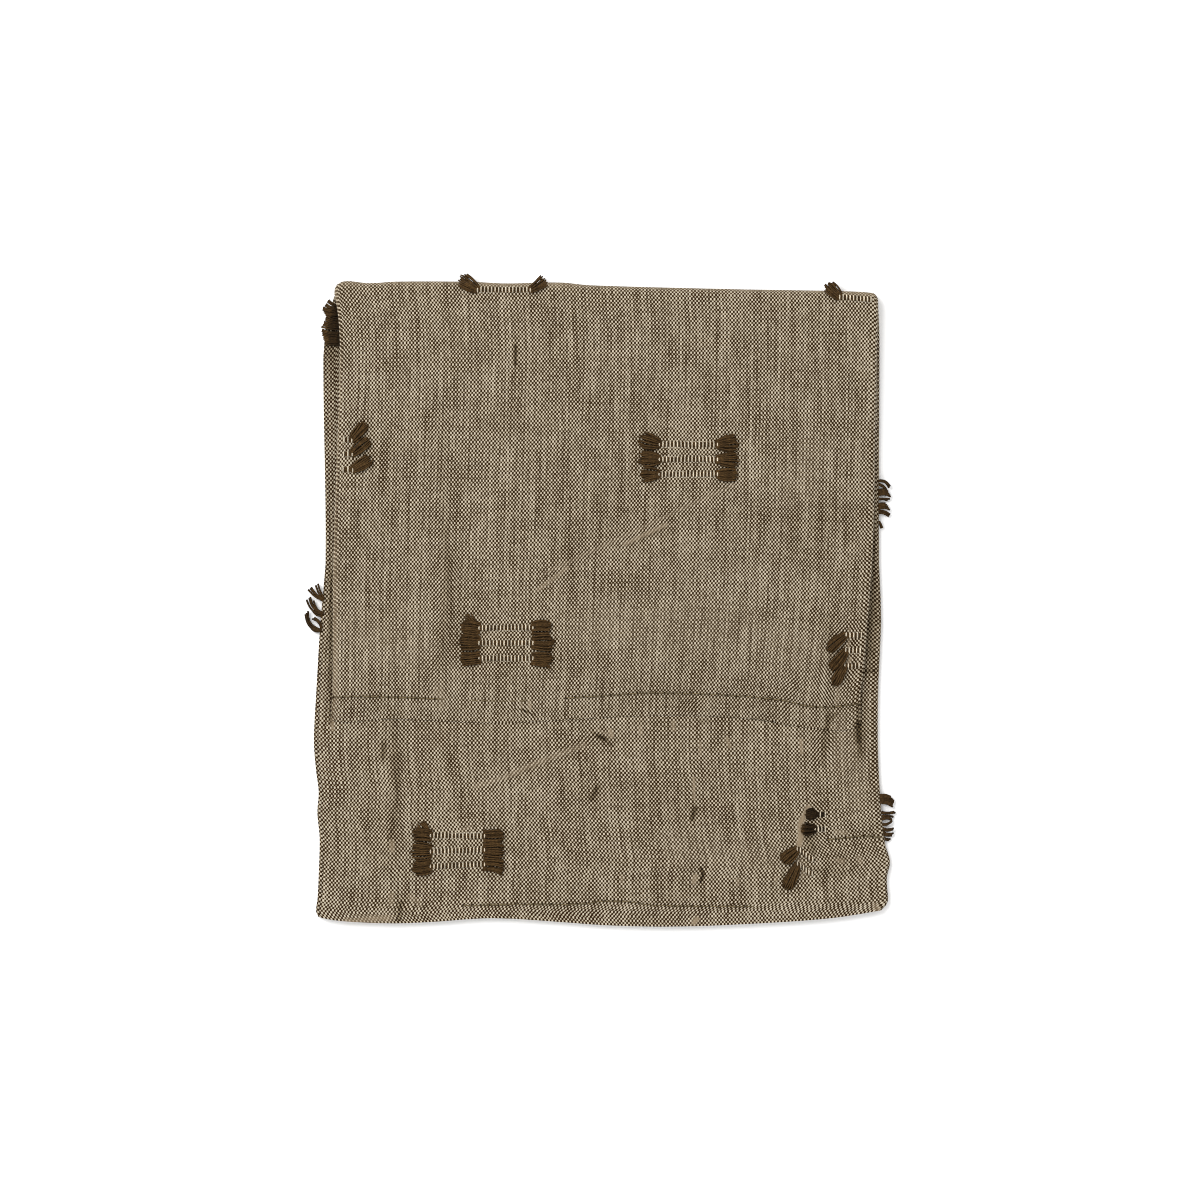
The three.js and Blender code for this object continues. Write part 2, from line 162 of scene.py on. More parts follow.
# The flap's end thins out onto the stack: (distance in from the hem, share of its height)
flap_thins = [(-2, 0.04), (0, 0.06), (3, 0.22), (8, 0.5), (15, 0.82), (22, 0.97), (26, 1), (28, 1)]

# Ridges (high over 0) and troughs (high under 0) from one place to another.
# Each falls away over one width on its left and another on its right, as seen along it.
flap_creases = [
    # x1, y1, x2, y2, left, right, high
    (-71, 96, -66.6, 12, 3.2, 3.2, 0.55),
    (-66.6, 12, -70.5, -36, 3.2, 3.2, 0.75),
    (60, 48, -22, 14, 4.5, 4.5, 0.35),
    (28.5, 32, 10, 23.5, 1.6, 3.0, 0.35),
    (-14.5, 13.5, -27, 4, 1.6, 3.0, 0.3),
    (107, -30, 101, -50, 2.5, 3.5, -0.35),
    (88, -34, 84, -52, 3.5, 2.5, 0.3),
    (-28, 60, -30, 20, 9.0, 9.0, 0.25),
    (12, 110, 14, 40, 10.0, 8.0, -0.25),
    (45, -5, 43, -46, 8.0, 8.0, 0.3),
    (76, 60, 80, -20, 9.0, 9.0, -0.22),
    (-98, 80, -94, -40, 8.0, 8.0, -0.22),
    (-48, 100, -50, 50, 9.0, 9.0, -0.2),
    (40, 120, 100, 116, 8.0, 6.0, -0.25),
    (-90, 124, -20, 126, 7.0, 7.0, -0.2),
    (-34, -42, -32, -54, 2.0, 2.0, -0.5),
    (-8, -40, -10, -54, 3.0, 2.0, 0.3),
    (22, -42, 26, -52, 2.5, 2.5, -0.3),
]
band_creases = [
    (-91.5, -50, -88.6, -98, 3.4, 3.4, 0.9),
    (-88.6, -98, -93, -118, 3.4, 3.4, 0.7),
    (-93, -118, -88, -138, 3.4, 3.4, 0.9),
    (-2, -62, -48, -80, 4.5, 4.5, 0.4),
    (114, -48, 113, -70, 3.2, 3.2, 0.6),
    (-94, -58, -94, -80, 1.0, 1.6, -0.6),
    (-1, -60, 5, -64, 1.2, 2.2, -0.8),
    (5, -57, 14, -58.5, 2.0, 1.6, 0.6),
    (1, -79, -1, -87, 1.8, 1.8, -0.5),
    (40.5, -78, 41, -90, 1.6, 1.2, 0.5),
    (41, -91, 39.5, -96, 1.0, 1.2, -0.9),
    (43, -117, 44.5, -123, 1.0, 1.4, -1.0),
    (40, -119, 40.5, -125, 1.6, 1.0, 0.6),
    (56, -60, 55, -66, 2.0, 2.0, 0.5),
    (86, -62, 88, -68, 1.6, 2.0, 0.5),
    (66, -52, 74, -54, 1.6, 1.6, -0.5),
    (42, -51, 50, -53, 1.6, 1.6, -0.5),
    (90, -102, 92, -113, 1.8, 2.4, 0.9),
    (91.2, -91, 85.6, -101, 2.2, 1.8, 1.3),
    (86.8, -104, 84.6, -109, 2.2, 1.8, 1.2),
    (97, -110, 104, -121, 2.2, 3.0, -0.6),
    (107, -112, 114, -124, 2.6, 2.6, 0.5),
    (60, -120, 58, -130, 2.6, 2.6, 0.4),
    (76, -118, 79, -128, 2.4, 2.4, 0.4),
    (12, -118, 9, -128, 2.6, 2.6, 0.35),
    (-92, -136, -112, -139.5, 2.0, 1.6, 0.5),
    (-87, -134, -86.5, -142, 1.2, 1.2, -0.9),
    (32, -70, 30, -112, 7.0, 7.0, 0.3),
    (-24, -90, -26, -130, 8.0, 8.0, -0.3),
    (68, -76, 70, -108, 7.0, 7.0, -0.3),
    (-108, -70, -106, -130, 6.0, 6.0, 0.35),
]

# Marks too narrow or too faint for the mesh, drawn in the finish alone: x1, y1, x2, y2, width, what the mark
# does there and how much
fine_marks = [
    # Fine creases and slubs on the flap, and shade painted along its fold
    (57.7, 49.6, -24, 11.3, 0.9, "worn", 0.22),
    (28.5, 32.2, 10.7, 23.9, 1.1, "worn", 0.5),
    (-14.5, 13.5, -27.1, 3.9, 1.1, "worn", 0.42),
    (27.6, 30.6, 12, 23.2, 0.8, "painted_shade", 0.25),
    (-36.9, 110.2, -36.9, 102.2, 1.0, "painted_shade", 0.8),
    (-70.4, 58, -67.6, 30, 1.8, "painted_shade", 0.16),
    (-67.6, 30, -66.2, 12, 2.0, "painted_shade", 0.3),
    (-66.2, 12, -66.4, 2, 2.0, "painted_shade", 0.34),
    (-66.4, 2, -69.4, -28, 2.6, "painted_shade", 0.22),
    (-52, 137.2, -32, 136.8, 1.5, "worn", 0.5),
    (106, 133.4, 119, 132.4, 1.3, "worn", 0.45),
    (-34.0, -48.0, -31.8, -49.3, 0.6, "painted_shade", 0.75),
    (-31.8, -49.3, -29.4, -50.3, 0.45, "painted_shade", 0.6),
    (-31.0, -44.8, -30.6, -47.6, 0.9, "worn", 0.55),
    (-34.4, -44.6, -34.0, -47.4, 0.8, "worn", 0.3),
    (43.4, -53.4, 47.6, -53.7, 1.3, "painted_shade", 0.3),
    (15, -54, 24, -54.2, 1.1, "painted_shade", 0.2),
    (68, -51.6, 71.9, -52.6, 1.2, "painted_shade", 0.25),
    (108.2, -13, 107.8, -25, 0.6, "worn", 0.45),
    (108.4, -26, 105.8, -32.4, 1.1, "worn", 0.7),
    (105.2, -33.6, 104.2, -38, 0.8, "worn", 0.4),
    (103.4, -39, 103.0, -45, 1.2, "worn", 0.25),
    (-37.1, 124, -37.4, -8, 0.45, "painted_shade", 0.16),
    (99.8, -50.4, 98.2, -57, 1.5, "painted_shade", 0.5),
    (98.2, -57, 96.8, -72, 1.6, "painted_shade", 0.36),
    (102.4, -50.2, 100, -52, 1.1, "painted_shade", 0.5),
    # The gap beside the flap's edges, with shade painted in it
    (-115.2, 104, -117.4, 40, 0.8, "painted_shade", 0.15),
    (-117.4, 40, -117.5, 12, 0.9, "painted_shade", 0.3),
    (-117.4, 12, -117.6, -54, 1.1, "painted_shade", 0.55),
    (-116.8, -52.6, -116.6, -56.8, 1.0, "worn", 0.65),
    (113.5, -31.6, 119.4, -31.2, 1.0, "painted_shade", 0.55),
    (112.3, -46, 112.4, -55, 1.3, "painted_shade", 0.5),
    (112.4, -54, 112.6, -62, 2.0, "painted_shade", 0.85),
    (112.7, -61, 113.2, -67, 1.5, "painted_shade", 0.65),
    # Marks and slubs on the band, and shade painted in its creases
    (90.6, -90.8, 86.9, -98, 1.4, "worn", 1.0),
    (86.9, -98, 87.0, -103.2, 1.3, "worn", 1.0),
    (87.4, -103.2, 85.8, -109.0, 1.5, "worn", 1.0),
    (90.6, -103, 92.4, -110, 2.4, "painted_shade", 0.4),
    (4.4, -57.4, 5.0, -59.6, 1.1, "worn", 0.75),
    (-1.6, -56.9, 3.4, -58.9, 0.7, "worn", 0.3),
    (-3.0, -58.4, -0.8, -59.6, 0.8, "painted_shade", 0.5),
    (-1.2, -59.5, 2.0, -61.1, 1.2, "painted_shade", 0.85),
    (2.0, -61.1, 5.4, -64, 0.7, "painted_shade", 0.5),
    (17.4, -56.4, 17.6, -58.2, 1.1, "worn", 0.36),
    (31.6, -53.8, 31.9, -56.6, 1.3, "worn", 0.42),
    (55.2, -60.8, 56.2, -64.2, 1.0, "worn", 0.55),
    (43.5, -62.4, 43.4, -67.6, 0.8, "worn", 0.42),
    (40.7, -77.9, 40.7, -87, 0.8, "worn", 0.55),
    (87.3, -61.4, 87.6, -67, 1.0, "worn", 0.6),
    (9.4, -121, 9.4, -122.8, 1.0, "worn", 0.35),
    (41.4, -120.8, 40.7, -123, 1.4, "worn", 0.6),
    (59.9, -122.2, 59.9, -124.2, 1.0, "worn", 0.4),
    (76.4, -121.4, 76.4, -123.2, 1.0, "worn", 0.35),
    (-90.7, -106, -90.7, -109.4, 1.2, "worn", 0.6),
    (-91, -128.6, -91.2, -132.4, 1.4, "worn", 0.35),
    (-83, -129.6, -78.8, -132.4, 1.4, "worn", 0.28),
    (102.6, -101.4, 107, -101.8, 1.0, "worn", 0.4),
    (103.4, -113.6, 105.4, -114.2, 1.3, "worn", 0.45),
    (112.4, -112.6, 113.2, -114.6, 1.3, "worn", 0.4),
    (42, -139.4, 40.8, -140.8, 1.3, "worn", 0.9),
    (119.6, -133.4, 121.6, -136.4, 1.3, "worn", 0.5),
    (-94.3, -63.1, -94.6, -69, 1.5, "painted_shade", 0.62),
    (-90.6, -52, -89.4, -69, 2.2, "painted_shade", 0.2),
    (-89.2, -68, -88.4, -83, 2.0, "painted_shade", 0.42),
    (-88.4, -83, -89.8, -97, 1.8, "painted_shade", 0.32),
    (-92.6, -54, -91.6, -96, 3.0, "painted_shade", 0.1),
    (-91, -100.6, -91.6, -104.4, 1.3, "painted_shade", 0.4),
    (-1.2, -82, -3.8, -87, 1.5, "painted_shade", 0.6),
    (41.3, -91.3, 39.9, -95.9, 1.3, "painted_shade", 0.75),
    (43.9, -117.4, 44.8, -120, 0.9, "painted_shade", 0.85),
    (44.8, -120, 43.6, -123, 0.9, "painted_shade", 0.85),
    (-87.0, -132, -87.8, -139.4, 1.3, "painted_shade", 0.55),
    (-60, -100.5, -56, -98.8, 0.9, "worn", 0.25),
    (-7.2, -63.6, -25, -70.2, 1.5, "worn", 0.3),
    (-25, -70.2, -41, -77.4, 1.5, "worn", 0.36),
    (-41, -77.4, -54.6, -81.6, 1.2, "worn", 0.28),
    (-27, -72.4, -42, -79.2, 1.0, "painted_shade", 0.16),
    (103.8, -52, 104.6, -74, 3.6, "worn", 0.14),
    # Broad patches that a wash left paler, and broad patches of painted shade
    (-4, -10, 60, -12, 12, "worn", 0.08),
    (60, -12, 92, -24, 10, "worn", 0.08),
    (-108, -12, -80, -22, 9, "worn", 0.07),
    (85, 46, 91, 66, 8, "worn", 0.08),
    (109, -62, 112, -88, 6, "worn", 0.1),
    (34, -108, 72, -112, 8, "worn", 0.07),
    (-10, 24, 0, 32, 12, "painted_shade", 0.05),
    (84, 30, 98, 34, 10, "painted_shade", 0.05),
    (-46, 74, -38, 77, 8, "painted_shade", 0.06),
]

# Where the weave is pulled out of square, so that it shows as slanting lines: falling over 0, rising under 0
flap_pulled = [
    (-117, 138, -115, 104, 4.0, 6.0, 0.7),
    (-114, 104, -116, 60, 1.0, 2.6, 0.58),
    (-115, 60, -115.5, 0, 1.0, 2.4, 0.47),
    (-115.5, 0, -116, -54, 1.0, 2.4, 0.39),
    (-73.5, 84, -69.2, 12, 2, 2, -0.14),
    (-69.2, 12, -73, -40, 2, 2, -0.2),
    (-68.6, 84, -64.4, 12, 2.2, 2.2, 0.16),
    (-64.4, 12, -68, -42, 2.2, 2.2, 0.2),
    (58, 50, -24, 11, 1.3, 1.3, -0.31),
    (28.5, 32, 10, 23.5, 1.2, 1.6, -0.39),
    (104, -12, 103, -38, 2.4, 2.6, -0.33),
    (110, -12, 108, -34, 2, 2.4, 0.33),
    (96, -30, 99, -44, 3.0, 3.0, 0.47),
    (84, -36, 80, -50, 4, 4, -0.22),
    (117.5, 60, 113.5, -40, 1.6, 1.6, 0.2),
    (40, -46, 36, -50, 4.0, 4.0, -0.31),
    (62, 80, 100, 76, 5.0, 5.0, 0.12),
    (-40, -45, -30, -50, 3.0, 3.0, 0.31),
]
band_pulled = [
    (-94.5, -54, -91.6, -98, 1.8, 1.8, -0.2),
    (-91.6, -98, -96, -120, 1.8, 1.8, -0.15),
    (-96, -120, -91, -140, 1.8, 1.8, -0.15),
    (-88.8, -50, -85.6, -98, 1.8, 2, 0.2),
    (-85.6, -98, -90, -120, 1.8, 1.8, 0.15),
    (-90, -120, -84, -140, 1.8, 1.8, 0.18),
    (0.7, -59, -48.5, -81, 1.6, 1.6, -0.3),
    (96.5, -46, 94.3, -70, 2.2, 2.2, -0.43),
    (101.5, -46, 99.3, -70, 2.2, 2.2, 0.43),
    (108, -60, 108, -80, 2.0, 2.0, -0.22),
    (116.5, -50, 116.5, -78, 2.0, 2.0, 0.12),
    (94, -88, 97, -106, 2.5, 2.5, 0.25),
    (-30, -136.6, 46, -137.4, 1.5, 1.5, -0.36),
    (43, -72, 38, -86, 2.2, 2.2, 0.25),
]
# Where it is rubbed pale
flap_worn = [
    (-115.6, 134, -114.2, 104, 1.4, 2.4, 0.45),
    (-113.4, 104, -115.6, 40, 0.9, 1.6, 0.4),
    (-115.6, 40, -115.4, -52, 0.9, 1.3, 0.4),
    (-70.5, -38, -69, -46, 1.8, 1.8, 0.3),
    (-60, 137.6, 116, 134.2, 1.6, 1.6, 0.35),
    (-116, 137.4, -60, 138.1, 1.4, 1.4, 0.35),
]
band_worn = [
    (-92, -138.5, -111, -140.5, 1.6, 1.2, 0.7),
    (86, -112, 88, -120, 1.6, 1.6, 0.4),
]
# Painted shade, where narrow hollows keep the light off the cloth
flap_painted_shade = [
    (-70.2, 84, -65.6, 12, 1.8, 2.4, 0.12),
    (98.5, -8, 101, -36, 2.4, 1.4, 0.25),
]
band_painted_shade = [
    (-119.4, 128, -117, 108, 3.0, 4.0, 0.6),
    (-117.4, 110, -118.2, 20, 1.6, 2.2, 0.09),
    (-118.2, 20, -118.4, -52, 1.6, 2, 0.09),
    (119.6, 60, 118.4, 0, 2.2, 2.0, 0.3),
    (118.4, 0, 117.0, -30.8, 3.0, 3.0, 0.5),
    (112.6, -44, 113.2, -69, 1.8, 1.6, 0.4),
    (-92.6, -54, -89.2, -98, 1.4, 1.4, 0.15),
    (-89.4, -98, -93.4, -118, 1.4, 1.4, 0.2),
    (90, -118, 108, -119.6, 1.6, 1.6, 0.25),
    (104, -112, 110, -116, 1.8, 1.8, 0.3),
]


def line_through(rows):
    """The smooth line through rows of (along, across), held level past both ends."""
    at, value = np.array(rows, float).T
    last = len(rows) - 1
    index = np.arange(last + 1)
    before, after = np.maximum(index - 1, 0), np.minimum(index + 1, last)
    slope = (value[after] - value[before]) / (at[after] - at[before])

    def line(place):
        place = np.clip(place, at[0], at[-1])
        i = np.clip(np.searchsorted(at, place, side="right") - 1, 0, last - 1)
        span = at[i + 1] - at[i]
        t = (place - at[i]) / span
        lift = t * (1 - t) * span * ((1 - t) * slope[i] - t * slope[i + 1])
        return value[i] + (value[i + 1] - value[i]) * t * t * (3 - 2 * t) + lift

    return line


top_at = line_through(top_fold)
flap_hem_at = line_through(flap_hem)
lower_hem_at = line_through(lower_hem)
flap_share_at = line_through(flap_thins)
stack_sides = line_through(left_of_stack), line_through(right_of_stack)
flap_sides = line_through(left_of_flap), line_through(right_of_flap)


def roll_line_at(x):
    """The line that the top roll turns about."""
    return top_at(x) - roll_radius


def creased(creases, x, y):
    """The height that ridges and troughs add at a place."""
    high = np.zeros_like(x, dtype=float)
    for x1, y1, x2, y2, left, right, rise in creases:
        run_x, run_y = x2 - x1, y2 - y1
        length = math.hypot(run_x, run_y)
        along = np.clip(((x - x1) * run_x + (y - y1) * run_y) / length**2, 0, 1)
        off_x, off_y = x - x1 - along * run_x, y - y1 - along * run_y
        wide = np.where(run_x * off_y - run_y * off_x > 0, left, right)
        high += rise * np.exp(-(off_x**2 + off_y**2) / wide**2)
    return high


def settled(x, y, z, in_flap):
    """A height in the plain, even stack, as it is in the real one with its hem, creases and sloping flap."""
    ridge = creased(flap_creases, x, y) * z / stack_high
    ridge = ridge + creased(band_creases, x, y) * np.minimum(z / strip_high, 1)
    if in_flap:
        return strip_high + (z - strip_high) * flap_share_at(y - flap_hem_at(x)) + ridge
    swell = hem_swell * np.clip((hem_stitched_at + hem_past - y + lower_hem_at(x)) / hem_ease, 0, 1)
    return z * (1 + swell) + ridge


def face_at(x, y):
    """The height of the cloth's top face."""
    x, y = np.asarray(x, float), np.asarray(y, float)
    on_flap = settled(x, y, stack_high, True)
    on_stack = settled(x, y, strip_high, False)
    past = np.clip(y - roll_line_at(x), 0, roll_radius)
    rolled = roll_radius + np.sqrt(roll_radius**2 - past**2)
    flat = np.where(y > flap_hem_at(x), on_flap, on_stack)
    return np.where(y > roll_line_at(x), rolled, flat)


def third_stops(columns, steps_left, steps_right):
    """The strip's cross-section from selvage to selvage, a row for each stop.

    Columns are the share across, the offset from there, the height, the outward side as x and z,
    and the place on the unfolded cloth. The middle third runs from 0 to third_wide there.
    """
    stops = []
    first_high, last_high = half_thick + layer_step, half_thick + 2 * layer_step
    left_radius, right_radius = layer_step / 2, layer_step
    # Shares of a third's width: the stops stand closer beside its folds than over its middle
    near_side = np.linspace(0.014, 0.062, 8)
    middle_from, middle_to = 0.075, 0.925

    def shares(count):
        over_middle = np.linspace(middle_from, middle_to, count)
        return np.concatenate([near_side, over_middle, 1 - near_side[::-1]])

    def turn(share, radius, start, steps):
        side = -1 if share == 0 else 1
        for i in range(steps + 1):
            angle = start - start * 2 * i / steps
            out_x, out_z = side * math.cos(angle), math.sin(angle)
            along_fold = radius * (start - angle) * (1 if start > 0 else -1)
            stops.append((share, -side * (radius + half_thick) + radius * out_x,
                          half_thick + radius + radius * out_z, out_x, out_z,
                          share * third_wide + along_fold - radius * abs(start)))

    stops.append((1, -first_selvage_short, first_high, 0, 1, first_selvage_short - third_wide))
    for share in shares(columns[0])[::-1]:
        if share < middle_to:
            stops.append((share, 0, first_high, 0, 1, -share * third_wide))
    turn(0, left_radius, math.pi / 2, steps_left)
    for share in shares(columns[1]):
        stops.append((share, 0, half_thick, 0, -1, share * third_wide))
    turn(1, right_radius, -math.pi / 2, steps_right)
    for share in shares(columns[2])[::-1]:
        stops.append((share, 0, last_high, 0, 1, (2 - share) * third_wide))
    stops.append((0, last_selvage_short, last_high, 0, 1, 2 * third_wide - last_selvage_short))
    return np.array(stops, float).T


def lag_at(high, from_left, from_right):
    """How far a layer of the flap stops short of its outline."""
    rise = np.maximum(high - half_thick, 0) / layer_step
    near_left = np.maximum(1 - from_left / lag_corner_wide, 0) ** 2
    near_right = np.maximum(1 - from_right / lag_corner_wide, 0) ** 2
    corner = lag_left * near_left + lag_right * near_right
    lower = corner + (np.maximum(lag_first, corner) - corner) * rise
    upper = lag_first + (lag_last - lag_first) * (rise - 1)
    return np.maximum(np.where(rise <= 1, lower, upper), corner)


def cloth_row(stops, part, at, out):
    """One row of points across the strip, out from the cloth's middle line by the given distance."""
    share, offset, high, out_x, out_z, _ = stops
    high = high + out * out_z
    edge_at = flap_hem_at if part == "flap" else lower_hem_at
    left_at, right_at = flap_sides if part == "flap" else stack_sides
    toward_roll = 1 - at if part == "flap" else at

    def along(edge, x):
        return edge + (roll_line_at(x) - edge) * toward_roll

    guess = left_at(0) + (right_at(0) - left_at(0)) * share
    level = np.full_like(share, top_fold[0][1]) if part == "roll" else along(edge_at(guess), guess)
    left, right = left_at(level), right_at(level)
    x = left + (right - left) * share + offset + out * out_x
    if part == "roll":
        reach = roll_radius - high
        return x, roll_line_at(x) + reach * math.sin(at), roll_radius - reach * math.cos(at)
    if part == "stack":
        y = along(edge_at(x), x)
        return x, y, settled(x, y, high, False)
    # The layers lie level with one another until near the hem
    y = along(edge_at(x), x) + lag_at(high, x - left, right - x) * at**4
    return x, y, settled(x, y, stack_high - high, True)


band_share = 0.335
roll_steps = 14
# Rows of points along the strip, closest at the two hems. Each is at a share of its part's length or, in the
# roll, at an angle.
row_places = [
    ("stack", (0, 0.0006)),
    ("stack", np.linspace(0.0075, 0.03, 4)),
    ("stack", np.linspace(0.037, band_share, 44)),
    ("stack", np.linspace(0.38, 1, 14)),
    ("roll", [math.pi * i / roll_steps for i in range(1, roll_steps)]),
    ("flap", np.linspace(0, 0.935, 84)),
    ("flap", np.linspace(0.945, 0.992, 7)),
    ("flap", (0.9992, 1)),
]
rows = [(part, at) for part, places in row_places for at in places]
stops = third_stops(columns=(16, 92, 80), steps_left=8, steps_right=10)
stop_count = stops.shape[1]
rings = []
for part, at in rows:
    inner = np.stack(cloth_row(stops, part, at, -half_thick), 1)
    outer = np.stack(cloth_row(stops, part, at, half_thick), 1)
    rings.append(np.concatenate([inner, outer[::-1]]))
cloth_points = np.concatenate(rings)

# Where each row and stop lies on the unfolded cloth, and on the map that holds the finish.
# On that map the parts that show lie side by side, and the hidden ones share their places.
unfolded_x = np.concatenate([stops[5], stops[5][::-1]])
roll_long = math.pi * roll_radius
band_long = stack_long * band_share
seen_long = band_long + flap_long + roll_long


def unfolded_y(part, at):
    """The place of a row on the unfolded cloth, from the lower hem."""
    if part == "stack":
        return at * stack_long
    if part == "roll":
        return stack_long + at * roll_radius
    return stack_long + roll_long + at * flap_long


def seen_y(part, at):
    """The place of a row on the map of the finish."""
    if part == "stack":
        past = max(at - band_share, 0) / (1 - band_share)
        return min(at, band_share) * stack_long + past * (seen_long - band_long)
    if part == "roll":
        return seen_long - at * roll_radius
    return band_long + (1 - at) * flap_long


ring_points = 2 * stop_count
first_third_end = int(np.argmin(np.abs(stops[5])))
last_third_start = int(np.argmin(np.abs(stops[5] - third_wide)))
faces, face_rank, face_maps = [], [], []


def place_on_maps(row, i, shift=0.0, end_shift=0.0):
    """The places of one point on the unfolded cloth and on the finish's map."""
    part, at = rows[row]
    x, y = unfolded_x[i] + shift, unfolded_y(part, at)
    folded = abs(x) if x <= third_wide else 2 * third_wide - x
    return (x, y + end_shift, folded, seen_y(part, at) + end_shift)


for row in range(len(rows) - 1):
    part = rows[row][0]
    in_band = part == "stack" and rows[row][1] < band_share
    for i in range(ring_points):
        j = (i + 1) % ring_points
        a, b = row * ring_points + i, row * ring_points + j
        faces.append((a, b, b + ring_points, a + ring_points))
        # The two selvages' edges lie past the cloth's width on the maps
        shift_i = cloth_thick if i == ring_points - 1 else 0.0
        shift_j = cloth_thick if i == stop_count - 1 else 0.0
        corners = [(row, i, shift_i), (row, j, shift_j), (row + 1, j, shift_j), (row + 1, i, shift_i)]
        face_maps.append([place_on_maps(*corner) for corner in corners])
        stop = i if i < stop_count else ring_points - 1 - i
        outer = i >= stop_count
        in_middle = first_third_end <= stop <= last_third_start
        seen = stop >= last_third_start if in_band else part != "stack" and in_middle
        face_rank.append(2 if outer and seen else 1 if outer else 0)
for row, upward in ((0, False), (len(rows) - 1, True)):
    for i in range(stop_count - 1):
        ring = [i, i + 1, ring_points - 2 - i, ring_points - 1 - i]
        face = [row * ring_points + k for k in ring]
        shifts = [0.0, 0.0, cloth_thick, cloth_thick]
        places = [place_on_maps(row, k, 0.0, s) for k, s in zip(ring, shifts)]
        if not upward:
            face, places = face[::-1], places[::-1]
        faces.append(face)
        face_maps.append(places)
        face_rank.append(1)
# The faces that show come last, so that a bake keeps theirs where several share a place on the map
order = sorted(range(len(faces)), key=lambda f: face_rank[f])
towel = mesh_object("towel", cloth_points, [faces[f] for f in order])
places = np.array([face_maps[f] for f in order]).reshape(-1, 4)

warp_pitch, weft_pitch = 0.75, 0.925
map_margin = 3.0
weave_map = towel.data.uv_layers.new(name="yarns")
weave_map.uv.foreach_set("vector", (places[:, :2] / (warp_pitch, weft_pitch)).astype(np.float32).ravel())
finish_map = towel.data.uv_layers.new(name="OFBake")
across = (places[:, 2] + map_margin) / (third_wide + 2 * map_margin)
along = (places[:, 3] + map_margin) / (seen_long + 2 * map_margin)
finish_map.uv.foreach_set("vector", np.stack([across, along], 1).astype(np.float32).ravel())
towel.data.uv_layers.active = weave_map
weave_map.active_render = True
towel.data.polygons.foreach_set("use_smooth", [True] * len(faces))
in_stack = np.repeat([part == "stack" for part, _ in rows], ring_points)


def point_values(shape, title, kind, values):
    """Stores a value at each of a mesh's points, for its finish to read."""
    shape.data.attributes.new(title, kind, "POINT").data.foreach_set("value", values)


# The pulled weave, the rubbed pale places and the painted shade, at each point of the towel
finishes = {"pulled": (flap_pulled, band_pulled), "worn": (flap_worn, band_worn),
            "painted_shade": (flap_painted_shade, band_painted_shade)}
for title, (flap_lines, band_lines) in finishes.items():
    on_flap = creased(flap_lines, cloth_points[:, 0], cloth_points[:, 1])
    on_band = creased(band_lines, cloth_points[:, 0], cloth_points[:, 1])
    amount = np.clip(np.where(in_stack, on_band, on_flap), -1, 1)
    point_values(towel, title, "FLOAT", amount.astype(np.float32))


def joined(tree, kind, values, output=0, **settings):
    """A node with its settings, its inputs given as numbers or other nodes' sockets; returns its output."""
    node = tree.nodes.new(kind)
    for key, value in settings.items():
        setattr(node, key, value)
    for key, value in values.items():
        socket = node.inputs[key]
        if isinstance(value, bpy.types.NodeSocket):
            tree.links.new(value, socket)
        else:
            socket.default_value = value
    return node.outputs[output]


def maths(tree, operation, *values):
    """A Math node's output."""
    return joined(tree, "ShaderNodeMath", dict(enumerate(values)), operation=operation)


def times(tree, product, *others):
    """The product of numbers and sockets."""
    for other in others:
        product = maths(tree, "MULTIPLY", product, other)
    return product


def vectors(tree, operation, *values, output=0):
    """A Vector Math node's output."""
    return joined(tree, "ShaderNodeVectorMath", dict(enumerate(values)), output, operation=operation)


def vector_of(tree, x, y, z=0.0):
    """A vector from three numbers or sockets."""
    return joined(tree, "ShaderNodeCombineXYZ", {"X": x, "Y": y, "Z": z})


def parts_of(tree, vector):
    """The three numbers of a vector."""
    split = tree.nodes.new("ShaderNodeSeparateXYZ")
    tree.links.new(vector, split.inputs[0])
    return tuple(split.outputs)


def noise(tree, vector, scale, detail=2.0, output=0):
    """Smooth noise from 0 to 1."""
    return joined(tree, "ShaderNodeTexNoise", {"Vector": vector, "Scale": scale, "Detail": detail}, output)


def blended(tree, share, first, second, blend="MIX"):
    """A mix of two colours."""
    node = tree.nodes.new("ShaderNodeMix")
    node.data_type = "RGBA"
    node.blend_type = blend
    # A Mix node has its share at 0 and its two colours at 6 and 7
    for socket, value in zip((node.inputs[0], node.inputs[6], node.inputs[7]), (share, first, second)):
        if isinstance(value, bpy.types.NodeSocket):
            tree.links.new(value, socket)
        elif isinstance(value, tuple):
            socket.default_value = (*value, 1)
        else:
            socket.default_value = value
    return node.outputs[2]


def darkened(tree, colour, shade):
    """A colour times a number."""
    return blended(tree, 1.0, colour, vector_of(tree, shade, shade, shade), "MULTIPLY")


def stepped(tree, value, low, high, to_low=0.0, to_high=1.0):
    """A soft step between two values."""
    return joined(
        tree, "ShaderNodeMapRange",
        {"Value": value, "From Min": low, "From Max": high, "To Min": to_low, "To Max": to_high},
        interpolation_type="SMOOTHSTEP",
    )


def relief(tree, height, strength, deep):
    """The normals of a surface with a fine relief on it, so many millimetres deep."""
    return joined(tree, "ShaderNodeBump", {"Height": height, "Strength": strength, "Distance": deep * MM},
                  "Normal")


def new_group(name, inputs, outputs, kind="ShaderNodeTree"):
    """A node group with named inputs and outputs; returns it with the nodes at its two ends."""
    group = bpy.data.node_groups.new(name, kind)
    for title, holds, value in inputs:
        socket = group.interface.new_socket(title, in_out="INPUT", socket_type="NodeSocket" + holds)
        if value is not None:
            socket.default_value = value
    for title, holds in outputs:
        group.interface.new_socket(title, in_out="OUTPUT", socket_type="NodeSocket" + holds)
    return group, group.nodes.new("NodeGroupInput"), group.nodes.new("NodeGroupOutput")


